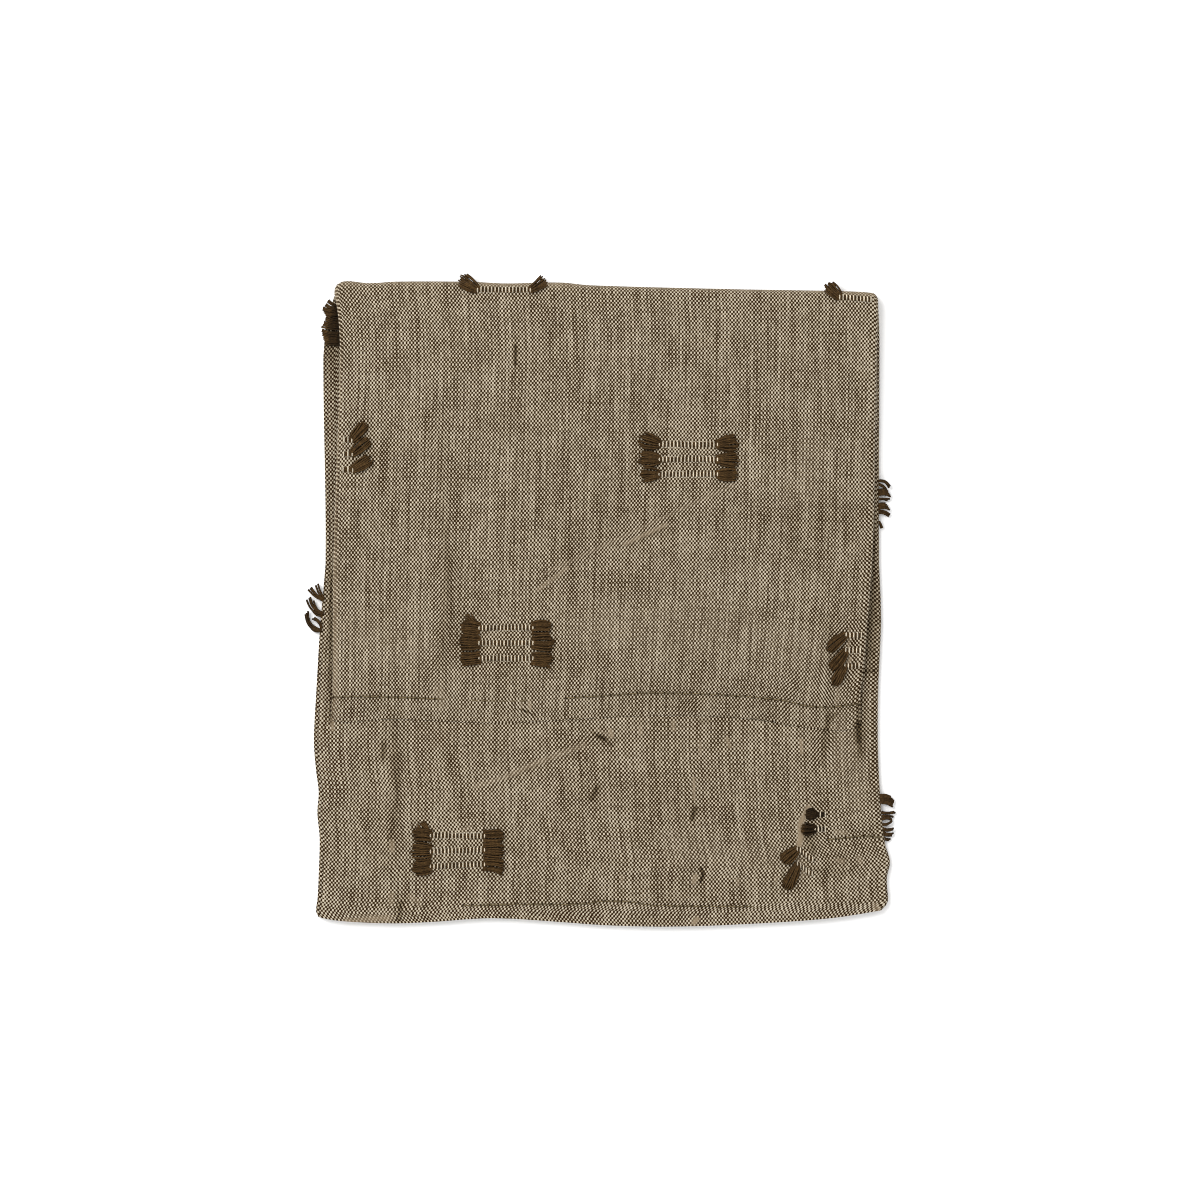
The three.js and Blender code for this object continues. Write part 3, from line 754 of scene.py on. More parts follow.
def weave_group():
    """Plain weave of uneven yarns: x counts the warp yarns and y the weft yarns."""
    tree, start, end = new_group(
        "plain_weave",
        [("Yarns", "Vector", None),
         ("Pulled", "Float", 0.0), ("Worn", "Float", 0.0), ("Painted_shade", "Float", 0.0),
         ("Cream", "Color", (0.47, 0.412, 0.32, 1)), ("Brown", "Color", (0.018, 0.0072, 0.0005, 1)),
         ("Rubbed", "Color", (0.235, 0.178, 0.115, 1)), ("Warp cover", "Float", -0.11),
         ("Unevenness", "Float", 1.0)],
        [("Color", "Color"), ("Height", "Float"), ("Roughness", "Float")],
    )
    yarns, unevenness = start.outputs["Yarns"], start.outputs["Unevenness"]
    # The yarns stray a little from their straight rows
    stray = vectors(tree, "SUBTRACT", noise(tree, yarns, 0.11, output=1), (0.5, 0.5, 0.5))
    stray = joined(tree, "ShaderNodeVectorMath", {0: stray, "Scale": 1.1}, operation="SCALE")
    x, y, _ = parts_of(tree, vectors(tree, "ADD", yarns, stray))
    # A checker is two sets of slanting lines laid together; pulled cloth shows more of one set
    rising = maths(tree, "COSINE", times(tree, maths(tree, "SUBTRACT", x, y), math.pi))
    falling = maths(tree, "COSINE", times(tree, maths(tree, "ADD", x, y), math.pi))
    share = maths(tree, "MULTIPLY_ADD", start.outputs["Pulled"], 0.5, 0.5)
    over = maths(tree, "SUBTRACT", times(tree, rising, share),
                 times(tree, falling, maths(tree, "SUBTRACT", 1.0, share)))
    warp_index, weft_index = maths(tree, "FLOOR", x), maths(tree, "FLOOR", y)

    def uneven(across, step_x, along, step_y, layer, detail):
        """Smooth noise over the yarns, at a step across and a step along, in a layer of the noise."""
        place = vector_of(tree, times(tree, across, step_x), times(tree, along, step_y), layer)
        return noise(tree, place, 1.0, detail)

    # How much of the warp shows: each row is one kind of unevenness, from single yarns to broad patches, and
    # its weight. The steps from yarn to yarn are long and not whole, so neighbours differ without a beat.
    spot = joined(tree, "ShaderNodeTexWhiteNoise",
                  {"Vector": vector_of(tree, warp_index, weft_index)}, noise_dimensions="2D")
    cover = start.outputs["Warp cover"]
    for value, weight in (
        (uneven(warp_index, 3.618, y, 0.035, 0.0, 2.0), 0.85),
        (uneven(warp_index, 5.618, y, 0.009, 7.0, 1.0), 0.42),
        (uneven(x, 0.05, weft_index, 3.7, 9.0, 2.0), -0.3),
        (uneven(x, 0.4, y, 0.03, 4.0, 3.0), 0.2),
        (uneven(x, 0.05, y, 0.055, 2.0, 2.0), 0.34),
        (spot, 0.15),
    ):
        swing = maths(tree, "SUBTRACT", value, 0.5)
        cover = maths(tree, "ADD", cover, times(tree, swing, weight, unevenness))
    # The loom's reed holds the warp yarns in pairs, so every other one shows more, here more and there less
    pairs = stepped(tree, uneven(x, 0.02, y, 0.02, 6.0, 1.0), 0.3, 0.7, 0.12, 0.26)
    every_other = maths(tree, "SINE", times(tree, x, math.pi))
    cover = maths(tree, "ADD", cover, times(tree, every_other, times(tree, pairs, unevenness)))
    # Lines cover more than a checker does, so the warp cover goes down where the cloth is pulled
    pull = maths(tree, "ABSOLUTE", start.outputs["Pulled"])
    cover = maths(tree, "SUBTRACT", cover, times(tree, pull, 0.2))
    warp_on = stepped(tree, maths(tree, "ADD", over, cover), -0.34, 0.5)
    fibres = uneven(x, 9.0, y, 2.0, 0.0, 2.0)
    shade = stepped(tree, fibres, 0.2, 0.8, 0.85, 1.1)
    shade = times(tree, shade, stepped(tree, spot, 0.0, 1.0, 0.9, 1.08))
    cream = darkened(tree, start.outputs["Cream"], shade)

    def fading(light, red_power):
        """Light as red, green and blue: half in shade cream looks tan, so blue fades first and red last."""
        red, blue = maths(tree, "POWER", light, red_power), maths(tree, "POWER", light, 1.2)
        return vector_of(tree, red, light, blue)

    reach = vectors(tree, "SUBTRACT", cream, start.outputs["Brown"])
    colour = vectors(tree, "MULTIPLY_ADD", reach, fading(warp_on, 0.92), start.outputs["Brown"])
    colour = blended(tree, start.outputs["Worn"], colour, start.outputs["Rubbed"])
    # Painted shade: the colour is darkened where the light is kept off the cloth
    lit = maths(tree, "SUBTRACT", 1.0, start.outputs["Painted_shade"])
    colour = blended(tree, 1.0, colour, fading(lit, 0.9), "MULTIPLY")
    height = maths(tree, "POWER", maths(tree, "ABSOLUTE", over), 0.6)
    height = maths(tree, "ADD", height, times(tree, fibres, 0.25))
    tree.links.new(colour, end.inputs["Color"])
    tree.links.new(height, end.inputs["Height"])
    tree.links.new(stepped(tree, warp_on, 0, 1, 0.85, 0.95), end.inputs["Roughness"])
    return tree


def mark_group():
    """How far a place on the upper side lies within a line's width, from 0 to 1."""
    tree, start, end = new_group(
        "mark_along_line",
        [("Place", "Vector", None), ("Start", "Vector", None), ("End", "Vector", None),
         ("Width", "Float", MM)],
        [("Mask", "Float")],
    )
    upper_from = 1.5 * MM
    x, y, z = parts_of(tree, start.outputs["Place"])
    run = vectors(tree, "SUBTRACT", start.outputs["End"], start.outputs["Start"])
    gone = vectors(tree, "SUBTRACT", vector_of(tree, x, y), start.outputs["Start"])
    share = maths(tree, "DIVIDE", vectors(tree, "DOT_PRODUCT", gone, run, output=1),
                  vectors(tree, "DOT_PRODUCT", run, run, output=1))
    share = joined(tree, "ShaderNodeClamp", {"Value": share})
    nearest = vectors(tree, "MULTIPLY", run, vector_of(tree, share, share, share))
    away = vectors(tree, "LENGTH", vectors(tree, "SUBTRACT", gone, nearest), output=1)
    mask = stepped(tree, maths(tree, "DIVIDE", away, start.outputs["Width"]), 0.1, 1.5, 1.0, 0.0)
    upper = maths(tree, "GREATER_THAN", z, upper_from)
    tree.links.new(times(tree, mask, upper), end.inputs["Mask"])
    return tree


weave = weave_group()
mark = mark_group()
cloth_material, cloth_shader = plain_material("woven_cotton", (0.25, 0.2, 0.14), 0.9, 0.08)
tree = cloth_material.node_tree
woven = tree.nodes.new("ShaderNodeGroup")
woven.node_tree = weave
tree.links.new(joined(tree, "ShaderNodeUVMap", {}, uv_map="yarns"), woven.inputs["Yarns"])
place = joined(tree, "ShaderNodeTexCoord", {}, "Object")
# Each finish, the painted shade among them, from the towel's points and the fine marks
for title in finishes:
    amount = joined(tree, "ShaderNodeAttribute", {}, "Fac", attribute_name=title)
    for x1, y1, x2, y2, wide, does, much in fine_marks:
        if does == title:
            ends = {"Start": (x1 * MM, y1 * MM, 0), "End": (x2 * MM, y2 * MM, 0)}
            mask = joined(tree, "ShaderNodeGroup", {"Place": place, **ends, "Width": wide * MM}, "Mask",
                          node_tree=mark)
            amount = maths(tree, "MAXIMUM", amount, times(tree, mask, much))
    tree.links.new(amount, woven.inputs[title.capitalize()])
tree.links.new(woven.outputs["Color"], cloth_shader.inputs["Base Color"])
tree.links.new(woven.outputs["Roughness"], cloth_shader.inputs["Roughness"])
tree.links.new(relief(tree, woven.outputs["Height"], 0.35, 0.25), cloth_shader.inputs["Normal"])
towel.data.materials.append(cloth_material)

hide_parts("towel_cloth")
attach(towel, "root")

# Inlaid picks: short lengths of thick dark olive-brown cotton, woven in three under one another to a motif.
# Each shows as a bar, where cream warp yarns float over it, with its cut ends standing out as tufts.
yarn_radius = 0.46
float_step = 1.49
# The rows of yarn in a bar and, last, the line that its floats stand on: aside, height and radius
bar_rows = [(-0.7, 0.1, 0.38), (0, 0.1, yarn_radius), (0.7, 0.1, 0.38), (0, 0.2, 0)]
# A strand starts this far inside its tuft's root, and a tuft's layers lie this far over one another
tucked_in = 0.6
strand_layer_step = 0.62

# name, left and right end of the bar, how far up the towel it lies, where the middle of each tuft's tips is
# from there, and how wide the tufts fan out
laid_picks = [
    ("upper_a", 25.6, 50.9, 67.2, (-9.0, 2.4), (9.4, 0.6), 7.4),
    ("upper_b", 25.6, 50.9, 60.7, (-9.4, 0.2), (9.6, -0.2), 6.8),
    ("upper_c", 25.4, 50.9, 54.2, (-8.4, -0.4), (9.0, -0.2), 6.4),
    ("middle_a", -52.8, -29.3, -12.5, (-8.2, 0.8), (8.4, 0.3), 6.0),
    ("middle_b", -52.8, -29.3, -19.1, (-9.1, 0.3), (9.4, -0.3), 7.4),
    ("middle_c", -52.8, -29.3, -25.8, (-8.8, -0.8), (9.0, -0.4), 6.2),
    ("lower_a", -74.0, -50.4, -103.1, (-8.2, 0.8), (8.8, 0.3), 6.0),
    ("lower_b", -74.0, -50.4, -109.8, (-9.0, 0.3), (9.2, 0.0), 7.4),
    ("lower_c", -74.0, -50.4, -116.4, (-8.6, -1.0), (9.0, -0.8), 6.2),
    ("left_a", -111.4, -108.0, 69.2, None, (6.4, 7.6), 5.4),
    ("left_b", -111.6, -107.8, 63.0, None, (8.2, 6.8), 5.4),
    ("left_c", -111.8, -107.6, 56.3, None, (8.6, 5.4), 5.2),
    ("right_a", 106.8, 113.4, -15.7, (-8.4, -6.8), None, 5.2),
    ("right_b", 106.6, 112.9, -22.4, (-6.6, -8.6), None, 5.2),
    ("right_c", 106.2, 112.4, -29.0, (-5.0, -8.8), None, 5.0),
    ("corner_a", 93.6, 97.9, -93.8, (-4.6, 0.4), None, 4.8),
    ("corner_b", 93.4, 97.9, -100.2, (-6.2, 0.2), None, 5.6),
    ("corner_c", 85.6, 92.4, -108.8, (-6.9, -5.8), None, 5.8),
    ("corner_d", 85.8, 92.2, -115.6, (-5.4, -11.0), None, 5.6),
    ("top_middle", -53.4, -30.4, 134.4, (-8.2, 5.8), (6.8, 4.8), 6.2),
    ("top_right", 104.0, 117.6, 131.2, (-5.8, 6.2), None, 5.6),
]
# How wide a tuft is at its root, by motif
root_widths = {"upper": 3.0, "middle": 5.0, "lower": 5.0}
other_root_width = 2.4
# A few strands that stand apart from their tuft: pick, end of the bar, where they start and end from there,
# how wide they fan and how many they are
loose_strands = [
    ("middle_a", "left", (-1.4, 1.4), (-4.0, 4.6), 3.4, 5),
    ("lower_a", "left", (-1.4, 1.4), (-3.8, 4.8), 3.4, 5),
    ("middle_c", "right", (2.8, -1.2), (5.2, -3.4), 0.8, 3),
    ("lower_c", "right", (2.8, -1.2), (5.0, -3.6), 0.8, 3),
    ("upper_a", "left", (-1.6, 1.0), (-5.0, 2.8), 2.4, 4),
]
# Bars that aren't level: how far each climbs from its left end to its right
slack_picks = {"lower_b": 0.5, "lower_c": 0.9, "top_right": -1.0, "corner_c": -4.4, "corner_d": -4.0}


def smooth_step(t):
    """A soft step from 0 to 1."""
    t = np.clip(t, 0, 1)
    return t * t * (3 - 2 * t)


def tuft(rng, root, out, root_wide, tip_wide, strands, layers):
    """The cut strands of one tuft, fanned out from its root: rows of points, each with its thickness."""
    long = math.hypot(*out)
    along, aside = (out[0] / long, out[1] / long), (-out[1] / long, out[0] / long)
    t = np.linspace(0, 1, 9)
    wide = root_wide + (tip_wide - root_wide) * (1 - (1 - t) ** 1.8)
    bundle = []
    for layer in range(layers):
        last = strands - 2 * layer - 1
        for i in range(last + 1):
            spread = (2 * i / last - 1) * (1 - 0.1 * layer) + rng.uniform(-0.12, 0.12)
            reach = long * (1.03 - 0.15 * spread * spread - rng.uniform(0, 0.16) - 0.03 * layer)
            off = spread * wide / 2 + rng.uniform(-0.6, 0.6) * np.sin(math.pi * t)
            at = -tucked_in + (reach + tucked_in) * t
            x = root[0] + along[0] * at + aside[0] * off
            y = root[1] + along[1] * at + aside[1] * off
            lift = 0.25 + strand_layer_step * layer + rng.uniform(0, 0.35)
            rise = 0.15 + lift * smooth_step(t * 3.5) + 0.3 * np.sin(math.pi * t)
            thick = yarn_radius * (0.8 + 0.2 * smooth_step(t * 3)) * (1 - 0.35 * smooth_step(5 * t - 4))
            bundle.append((x, y, face_at(x, y) + rise, thick))
    return bundle


def bar(x1, x2, y, slack):
    """The yarn of a bar in three rows, and the line that the warp floats stand on."""
    t = np.linspace(0, 1, max(4, round((x2 - x1) / 1.5) + 1))
    x = x1 + (x2 - x1) * t
    rows = []
    for off, high, radius in bar_rows:
        at = y + off + slack * smooth_step(t)
        rows.append((x, at, face_at(x, at) + high, np.full_like(x, radius)))
    return rows[:3], rows[3:]


# Picks that lie in the shade beside a fold: across there, where they are in the light and in full shade
shaded_picks = {
    "side_upper_left_a": (-119.5, -114.5), "side_upper_left_b": (-121.0, -115.2),
    "side_upper_left_c": (-121.5, -115.0), "corner_a": (87.5, 90.5), "corner_b": (86.5, 90.0),
}
never_shaded = (1000.0, 1001.0)


def inlay_base(name, strands, float_lines):
    """Lines through the strands and floats, each point with its thickness, as the swept mesh starts from."""
    points, edges, thick, is_float, shaded = [], [], [], [], []
    lit_at, dark_at = shaded_picks.get(name, never_shaded)
    for rows, flag in ((strands, 0), (float_lines, 1)):
        for x, y, z, radius in rows:
            edges += [(len(points) + i, len(points) + i + 1) for i in range(len(x) - 1)]
            points += list(zip(x, y, z))
            thick += list(radius * MM)
            is_float += [flag] * len(x)
            shaded += list(smooth_step((x - lit_at) / (dark_at - lit_at)) * (1 - flag))
    base = mesh_object("pick_" + name, points, (), edges)
    point_values(base, "thick", "FLOAT", thick)
    point_values(base, "is_float", "INT", is_float)
    point_values(base, "shaded", "FLOAT", shaded)
    return base


def geometry_tree(name, inputs):
    """A Geometry Nodes tree with named inputs; returns it with the nodes at its two ends."""
    return new_group(name, [("Geometry", "Geometry", None), *inputs], [("Geometry", "Geometry")],
                     "GeometryNodeTree")


def named(tree, title, kind="FLOAT"):
    """The value of a named attribute."""
    return joined(tree, "GeometryNodeInputNamedAttribute", {"Name": title}, data_type=kind)


def with_value(tree, geometry, kind, title, value):
    """A geometry that keeps a value at its points, and the value as it is kept."""
    node = tree.nodes.new("GeometryNodeCaptureAttribute")
    node.capture_items.new(kind, title)
    tree.links.new(geometry, node.inputs["Geometry"])
    tree.links.new(value, node.inputs[title])
    return node.outputs["Geometry"], node.outputs[title]


def with_material(tree, geometry, material):
    """A geometry in its material."""
    return joined(tree, "GeometryNodeSetMaterial", {"Geometry": geometry, "Material": material})


def together(tree, *parts):
    """Several geometries as one."""
    node = tree.nodes.new("GeometryNodeJoinGeometry")
    for part in parts:
        tree.links.new(part, node.inputs["Geometry"])
    return node.outputs["Geometry"]


def spots_along(tree, line, step):
    """Points at even steps along lines that are given as a mesh's edges."""
    curve = joined(tree, "GeometryNodeMeshToCurve", {"Mesh": line})
    return joined(tree, "GeometryNodeResampleCurve", {"Curve": curve, "Length": step}, mode="LENGTH")


def swept(tree, curve, radius, sides, scale=1.0):
    """A round yarn along a curve. Its attribute lay holds the length along it and the angle about it."""
    length = joined(tree, "GeometryNodeSplineParameter", {}, "Length")
    path, length = with_value(tree, curve, "FLOAT", "Length", length)
    ring = joined(tree, "GeometryNodeCurvePrimitiveCircle", {"Resolution": sides, "Radius": radius})
    turn = times(tree, joined(tree, "GeometryNodeSplineParameter", {}, "Factor"), 2 * math.pi)
    facing = vector_of(tree, 0.0, maths(tree, "COSINE", turn), maths(tree, "SINE", turn))
    ring, facing = with_value(tree, ring, "VECTOR", "Turn", facing)
    yarn = joined(tree, "GeometryNodeCurveToMesh",
                  {"Curve": path, "Profile Curve": ring, "Scale": scale, "Fill Caps": True})
    lay = vectors(tree, "ADD", facing, vector_of(tree, length, 0.0))
    return joined(tree, "GeometryNodeStoreNamedAttribute", {"Geometry": yarn, "Name": "lay", "Value": lay},
                  data_type="FLOAT_VECTOR", domain="POINT")


def inlay_tree():
    """Sweeps the strands, and sets an arched warp yarn at every step of the bar."""
    tree, start, end = geometry_tree("inlaid_pick", [
        ("Yarn sides", "Int", 7), ("Seed", "Int", 1),
        ("Float step", "Float", float_step * MM), ("Float length", "Float", 2.25 * MM),
        ("Float rise", "Float", 1.4 * MM), ("Float radius", "Float", 0.36 * MM),
        ("Yarn", "Material", None), ("Warp", "Material", None),
    ])
    parted = tree.nodes.new("GeometryNodeSeparateGeometry")
    tree.links.new(start.outputs["Geometry"], parted.inputs["Geometry"])
    tree.links.new(named(tree, "is_float", "INT"), parted.inputs["Selection"])
    strands = joined(tree, "GeometryNodeMeshToCurve", {"Mesh": parted.outputs["Inverted"]})
    yarn = swept(tree, strands, 1.0, start.outputs["Yarn sides"], named(tree, "thick"))
    yarn = with_material(tree, yarn, start.outputs["Yarn"])

    spots = spots_along(tree, parted.outputs["Selection"], start.outputs["Float step"])
    half_long = times(tree, start.outputs["Float length"], 0.5)
    sunk = -0.35 * MM
    arch = joined(tree, "GeometryNodeCurveQuadraticBezier", {
        "Resolution": 8, "Start": vector_of(tree, 0.0, times(tree, half_long, -1.0), sunk),
        "Middle": vector_of(tree, 0.0, 0.0, start.outputs["Float rise"]),
        "End": vector_of(tree, 0.0, half_long, sunk),
    })
    warp = swept(tree, arch, start.outputs["Float radius"], start.outputs["Yarn sides"])
    warp = with_material(tree, warp, start.outputs["Warp"])
    smallest, largest = (0.85, 0.88, 0.9), (1.15, 1.08, 1.05)
    size = joined(tree, "FunctionNodeRandomValue", {0: smallest, 1: largest, "Seed": start.outputs["Seed"]},
                  data_type="FLOAT_VECTOR")
    floats = joined(tree, "GeometryNodeInstanceOnPoints", {"Points": spots, "Instance": warp, "Scale": size})
    floats = joined(tree, "GeometryNodeRealizeInstances", {"Geometry": floats})
    smooth = joined(tree, "GeometryNodeSetShadeSmooth", {"Geometry": together(tree, yarn, floats)})
    tree.links.new(smooth, end.inputs["Geometry"])
    return tree


def made_plain(shape, tree, settings):
    """Turns a mesh into what its Geometry Nodes tree makes of it, as a plain mesh."""
    modifier = shape.modifiers.new("made", "NODES")
    modifier.node_group = tree
    for item in tree.interface.items_tree:
        if item.item_type == "SOCKET" and item.in_out == "INPUT" and item.name in settings:
            modifier[item.identifier] = settings[item.name]
    depsgraph = bpy.context.evaluated_depsgraph_get()
    depsgraph.update()
    mesh = bpy.data.meshes.new_from_object(shape.evaluated_get(depsgraph))
    base = shape.data
    shape.modifiers.clear()
    shape.data = mesh
    bpy.data.meshes.remove(base)
    mesh.name = shape.name
    return shape


def yarn_group():
    """Spun yarn: its plies wind about it, with shade painted in the grooves between them and fibres along
    them.
    """
    tree, start, end = new_group(
        "spun_yarn",
        [("Lay", "Vector", None), ("Shaded", "Float", 0.0), ("Tint", "Color", (0.06, 0.04, 0.018, 1)),
         ("Twist length", "Float", 3.4 * MM), ("Plies", "Float", 2.0), ("Side shade", "Float", 0.3)],
        [("Color", "Color"), ("Height", "Float")],
    )
    along, side, up = parts_of(tree, start.outputs["Lay"])
    turn = maths(tree, "DIVIDE", along, start.outputs["Twist length"])
    turn = times(tree, turn, start.outputs["Plies"], 2 * math.pi)
    angle = times(tree, maths(tree, "ARCTAN2", up, side), start.outputs["Plies"])
    ply = maths(tree, "SINE", maths(tree, "ADD", turn, angle))
    place = joined(tree, "ShaderNodeTexCoord", {}, "Object")
    fibres = noise(tree, place, 2600.0)
    patches = noise(tree, place, 420.0)
    # Painted shade in the grooves between the plies
    shade = stepped(tree, ply, -1, 0.4, 0.72, 1.06)
    for value, low, high, to_low, to_high in (
        (fibres, 0.25, 0.75, 0.75, 1.25),
        (patches, 0.25, 0.75, 0.7, 1.3),
        # Shade is painted at the sides, where strands lie against one another
        (maths(tree, "ABSOLUTE", side), 0.35, 1.0, 1.0, start.outputs["Side shade"]),
        (start.outputs["Shaded"], 0.0, 1.0, 1.0, 0.34),
    ):
        shade = times(tree, shade, stepped(tree, value, low, high, to_low, to_high))
    tree.links.new(darkened(tree, start.outputs["Tint"], shade), end.inputs["Color"])
    tree.links.new(maths(tree, "ADD", ply, fibres), end.inputs["Height"])
    return tree


spun = yarn_group()


def yarn_material(name, tint, twist_long):
    """A matt cotton yarn of one colour, with so many millimetres to a turn of its plies."""
    material, shader = plain_material(name, tint, 0.85, 0.1)
    tree = material.node_tree
    finish = tree.nodes.new("ShaderNodeGroup")
    finish.node_tree = spun
    finish.inputs["Tint"].default_value = (*tint, 1)
    finish.inputs["Twist length"].default_value = twist_long * MM
    for title, attribute, output in (("Lay", "lay", "Vector"), ("Shaded", "shaded", "Fac")):
        value = joined(tree, "ShaderNodeAttribute", {}, output, attribute_name=attribute)
        tree.links.new(value, finish.inputs[title])
    tree.links.new(finish.outputs["Color"], shader.inputs["Base Color"])
    tree.links.new(relief(tree, finish.outputs["Height"], 0.5, 0.1), shader.inputs["Normal"])
    return material


inlay_yarn = yarn_material("inlay_yarn", (0.057, 0.0306, 0.0099), 3.4)
warp_yarn = yarn_material("warp_yarn", (0.56, 0.485, 0.365), 2.4)
inlay_maker = inlay_tree()


def make_inlay(name, strands, float_lines, seed):
    """One pick as one piece, in place of the frame's plain one."""
    pick = made_plain(inlay_base(name, strands, float_lines), inlay_maker,
                      {"Float step": float_step * MM, "Seed": seed, "Yarn": inlay_yarn, "Warp": warp_yarn})
    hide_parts("inlay_" + name)
    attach(pick, "root")
    return pick


for seed, (name, x1, x2, y, left, right, fan_wide) in enumerate(laid_picks):
    rng = random.Random(name)
    slack = slack_picks.get(name, 0.0)
    strands, float_lines = bar(x1, x2, y, slack)
    root_wide = root_widths.get(name.split("_")[0], other_root_width)
    roots = {"left": (x1, y), "right": (x2, y + slack)}
    for end, out in (("left", left), ("right", right)):
        if out:
            strands += tuft(rng, roots[end], out, root_wide, fan_wide - 0.6, 8, 2)
    for pick_name, end, start, out, wide, strand_count in loose_strands:
        if pick_name == name:
            root = (roots[end][0] + start[0], roots[end][1] + start[1])
            strands += tuft(rng, root, out, 0.4 * wide, wide, strand_count, 1)
    make_inlay(name, strands, float_lines, seed)

# Edge tufts: picks of the hidden layers, whose cut ends stand out past the towel's sides.
# They hang over the table in loose, uneven fans, a few strands of each apart from the rest.
edge_strand_radius = 0.46
lowest_strand = 0.5
# They grow darker outwards: how far from the towel's middle they are lit, and would be in full shade
edge_lit_at = 112.0
edge_dark_at = 138.0

# By pick, for each of its fans: root, first and last strand's end, bend to the left, width of the root,
# number of strands, height at the root and at the end
edge_fans = {
    "side_upper_left_a": [((-114.8, 126.6), (-118.4, 130.2), (-121.0, 126.0), 0.5, 3.0, 6, 4.6, 5.2),
                          ((-114.4, 125.0), (-120.6, 125.8), (-119.4, 123.0), 0.4, 2.8, 5, 4.8, 4.6)],
    "side_upper_left_b": [((-112.8, 120.4), (-118.8, 124.2), (-121.2, 118.4), 0.9, 6.0, 8, 4.3, 4.3)],
    "side_upper_left_c": [((-112.4, 113.9), (-121.2, 117.4), (-120.0, 111.0), 0.8, 6.6, 9, 4.3, 4.2)],
    "side_left_a": [((-120.6, 0.0), (-123.0, 6.6), (-124.2, 6.0), 0.3, 0.8, 2, 2.6, 2.2),
                    ((-120.6, -0.4), (-126.0, 5.2), (-127.2, 4.0), 0.5, 0.9, 3, 2.6, 2.2)],
    "side_left_b": [((-120.9, -6.4), (-126.2, 0.8), (-127.8, -0.4), 1.5, 0.9, 3, 2.6, 2.0),
                    ((-121.0, -7.0), (-124.8, -0.8), (-126.0, -1.8), 0.9, 0.8, 2, 2.4, 1.6),
                    ((-121.2, -7.2), (-124.2, -4.2), (-125.4, -5.2), 0.8, 0.6, 2, 2.2, 1.4)],
    "side_left_c": [((-121.8, -13.8), (-127.2, -5.4), (-128.6, -6.6), 2.1, 0.9, 3, 2.6, 2.0),
                    ((-121.4, -12.6), (-124.6, -8.2), (-125.4, -8.6), -0.8, 0.6, 2, 2.2, 1.4),
                    ((-121.8, -13.8), (-125.4, -11.4), (-126.2, -12.2), 0.9, 0.6, 2, 2.0, 1.0)],
    "side_upper_right_a": [((120.8, 51.4), (126.2, 49.0), (125.8, 48.4), 1.2, 0.6, 2, 2.6, 2.0),
                           ((120.8, 50.0), (124.6, 47.8), (125.2, 46.8), 0.7, 0.5, 2, 2.2, 1.2)],
    "side_upper_right_b": [((120.8, 46.0), (124.8, 47.4), (126.3, 44.6), 0.7, 2.2, 6, 2.6, 2.0),
                           ((120.8, 43.4), (125.8, 43.6), (125.2, 42.9), 0.3, 0.5, 2, 2.2, 1.2)],
    "side_upper_right_c": [((120.8, 39.8), (124.0, 41.8), (126.3, 38.8), 0.7, 1.8, 5, 2.6, 2.0),
                           ((120.8, 37.8), (126.2, 37.0), (125.6, 35.9), 0.7, 0.8, 3, 2.2, 1.2),
                           ((121.4, 33.8), (122.9, 31.2), (122.4, 31.0), 0.2, 0.3, 2, 2.2, 1.6)],
    "side_lower_right_a": [((121.4, -86.0), (126.2, -86.0), (127.4, -87.4), 0.5, 1.2, 4, 2.6, 2.2),
                           ((121.6, -87.8), (127.8, -88.0), (127.2, -90.6), 0.4, 2.2, 5, 2.4, 1.6)],
    "side_lower_right_b": [((122.4, -93.0), (128.2, -92.7), (128.3, -93.1), -0.4, 0.5, 2, 2.4, 1.8),
                           ((122.6, -94.6), (127.6, -94.7), (127.6, -95.0), 0.1, 0.4, 2, 2.2, 1.2),
                           ((122.6, -96.1), (127.0, -96.0), (127.0, -96.4), 0.7, 0.4, 2, 2.4, 1.8),
                           ((122.6, -98.2), (127.0, -96.6), (127.0, -96.9), -0.5, 0.4, 2, 2.2, 1.8)],
    "side_lower_right_c": [((122.2, -99.6), (127.6, -100.0), (127.5, -100.4), -0.7, 0.5, 2, 2.4, 1.8),
                           ((122.2, -101.0), (127.5, -102.0), (127.0, -103.2), -0.8, 1.2, 4, 2.2, 1.6),
                           ((122.4, -102.6), (126.4, -104.6), (125.6, -105.2), -0.7, 0.8, 3, 2.0, 1.0)],
}


def fan(rng, root, first, last, bend, root_wide, strands, root_high, end_high):
    """Strands from one root to ends that lie between two places, each bent a little to one side."""
    t = np.linspace(0, 1, 10)
    bundle = []
    for i in range(strands):
        share = i / max(strands - 1, 1)
        tip_x = first[0] + (last[0] - first[0]) * share + rng.uniform(-0.25, 0.25)
        tip_y = first[1] + (last[1] - first[1]) * share + rng.uniform(-0.12, 0.12)
        run_x, run_y = tip_x - root[0], tip_y - root[1]
        long = math.hypot(run_x, run_y)
        turn = run_x * (last[1] - first[1]) - run_y * (last[0] - first[0])
        shift = (share - 0.5) * root_wide * (1 if turn > 0 else -1)
        side = (bend + rng.uniform(-0.2, 0.2)) * np.sin(math.pi * t) + shift * (1 - t) ** 1.5
        lift = rng.uniform(-0.3, 0.5)
        high = root_high + (end_high + lift - root_high) * t + 0.4 * np.sin(math.pi * t)
        x = root[0] + run_x * t - run_y / long * side
        y = root[1] + run_y * t + run_x / long * side
        bundle.append((x, y, np.maximum(high, lowest_strand), np.full_like(t, edge_strand_radius)))
    return bundle


for seed, (name, fans) in enumerate(edge_fans.items()):
    rng = random.Random(name)
    side = -1 if "left" in name else 1
    shaded_picks.setdefault(name, (side * edge_lit_at, side * edge_dark_at))
    strands = []
    for one_fan in fans:
        strands += fan(rng, *one_fan)
    make_inlay(name, strands, [], seed)

# Hem stitching: a lockstitch in dark olive thread through the hems, with the shade in its needle holes
# painted as dark buttons.
# One line is in the flap, one shows through at the lower hem and one short one runs in from the right side.
thread_rise = 0.1
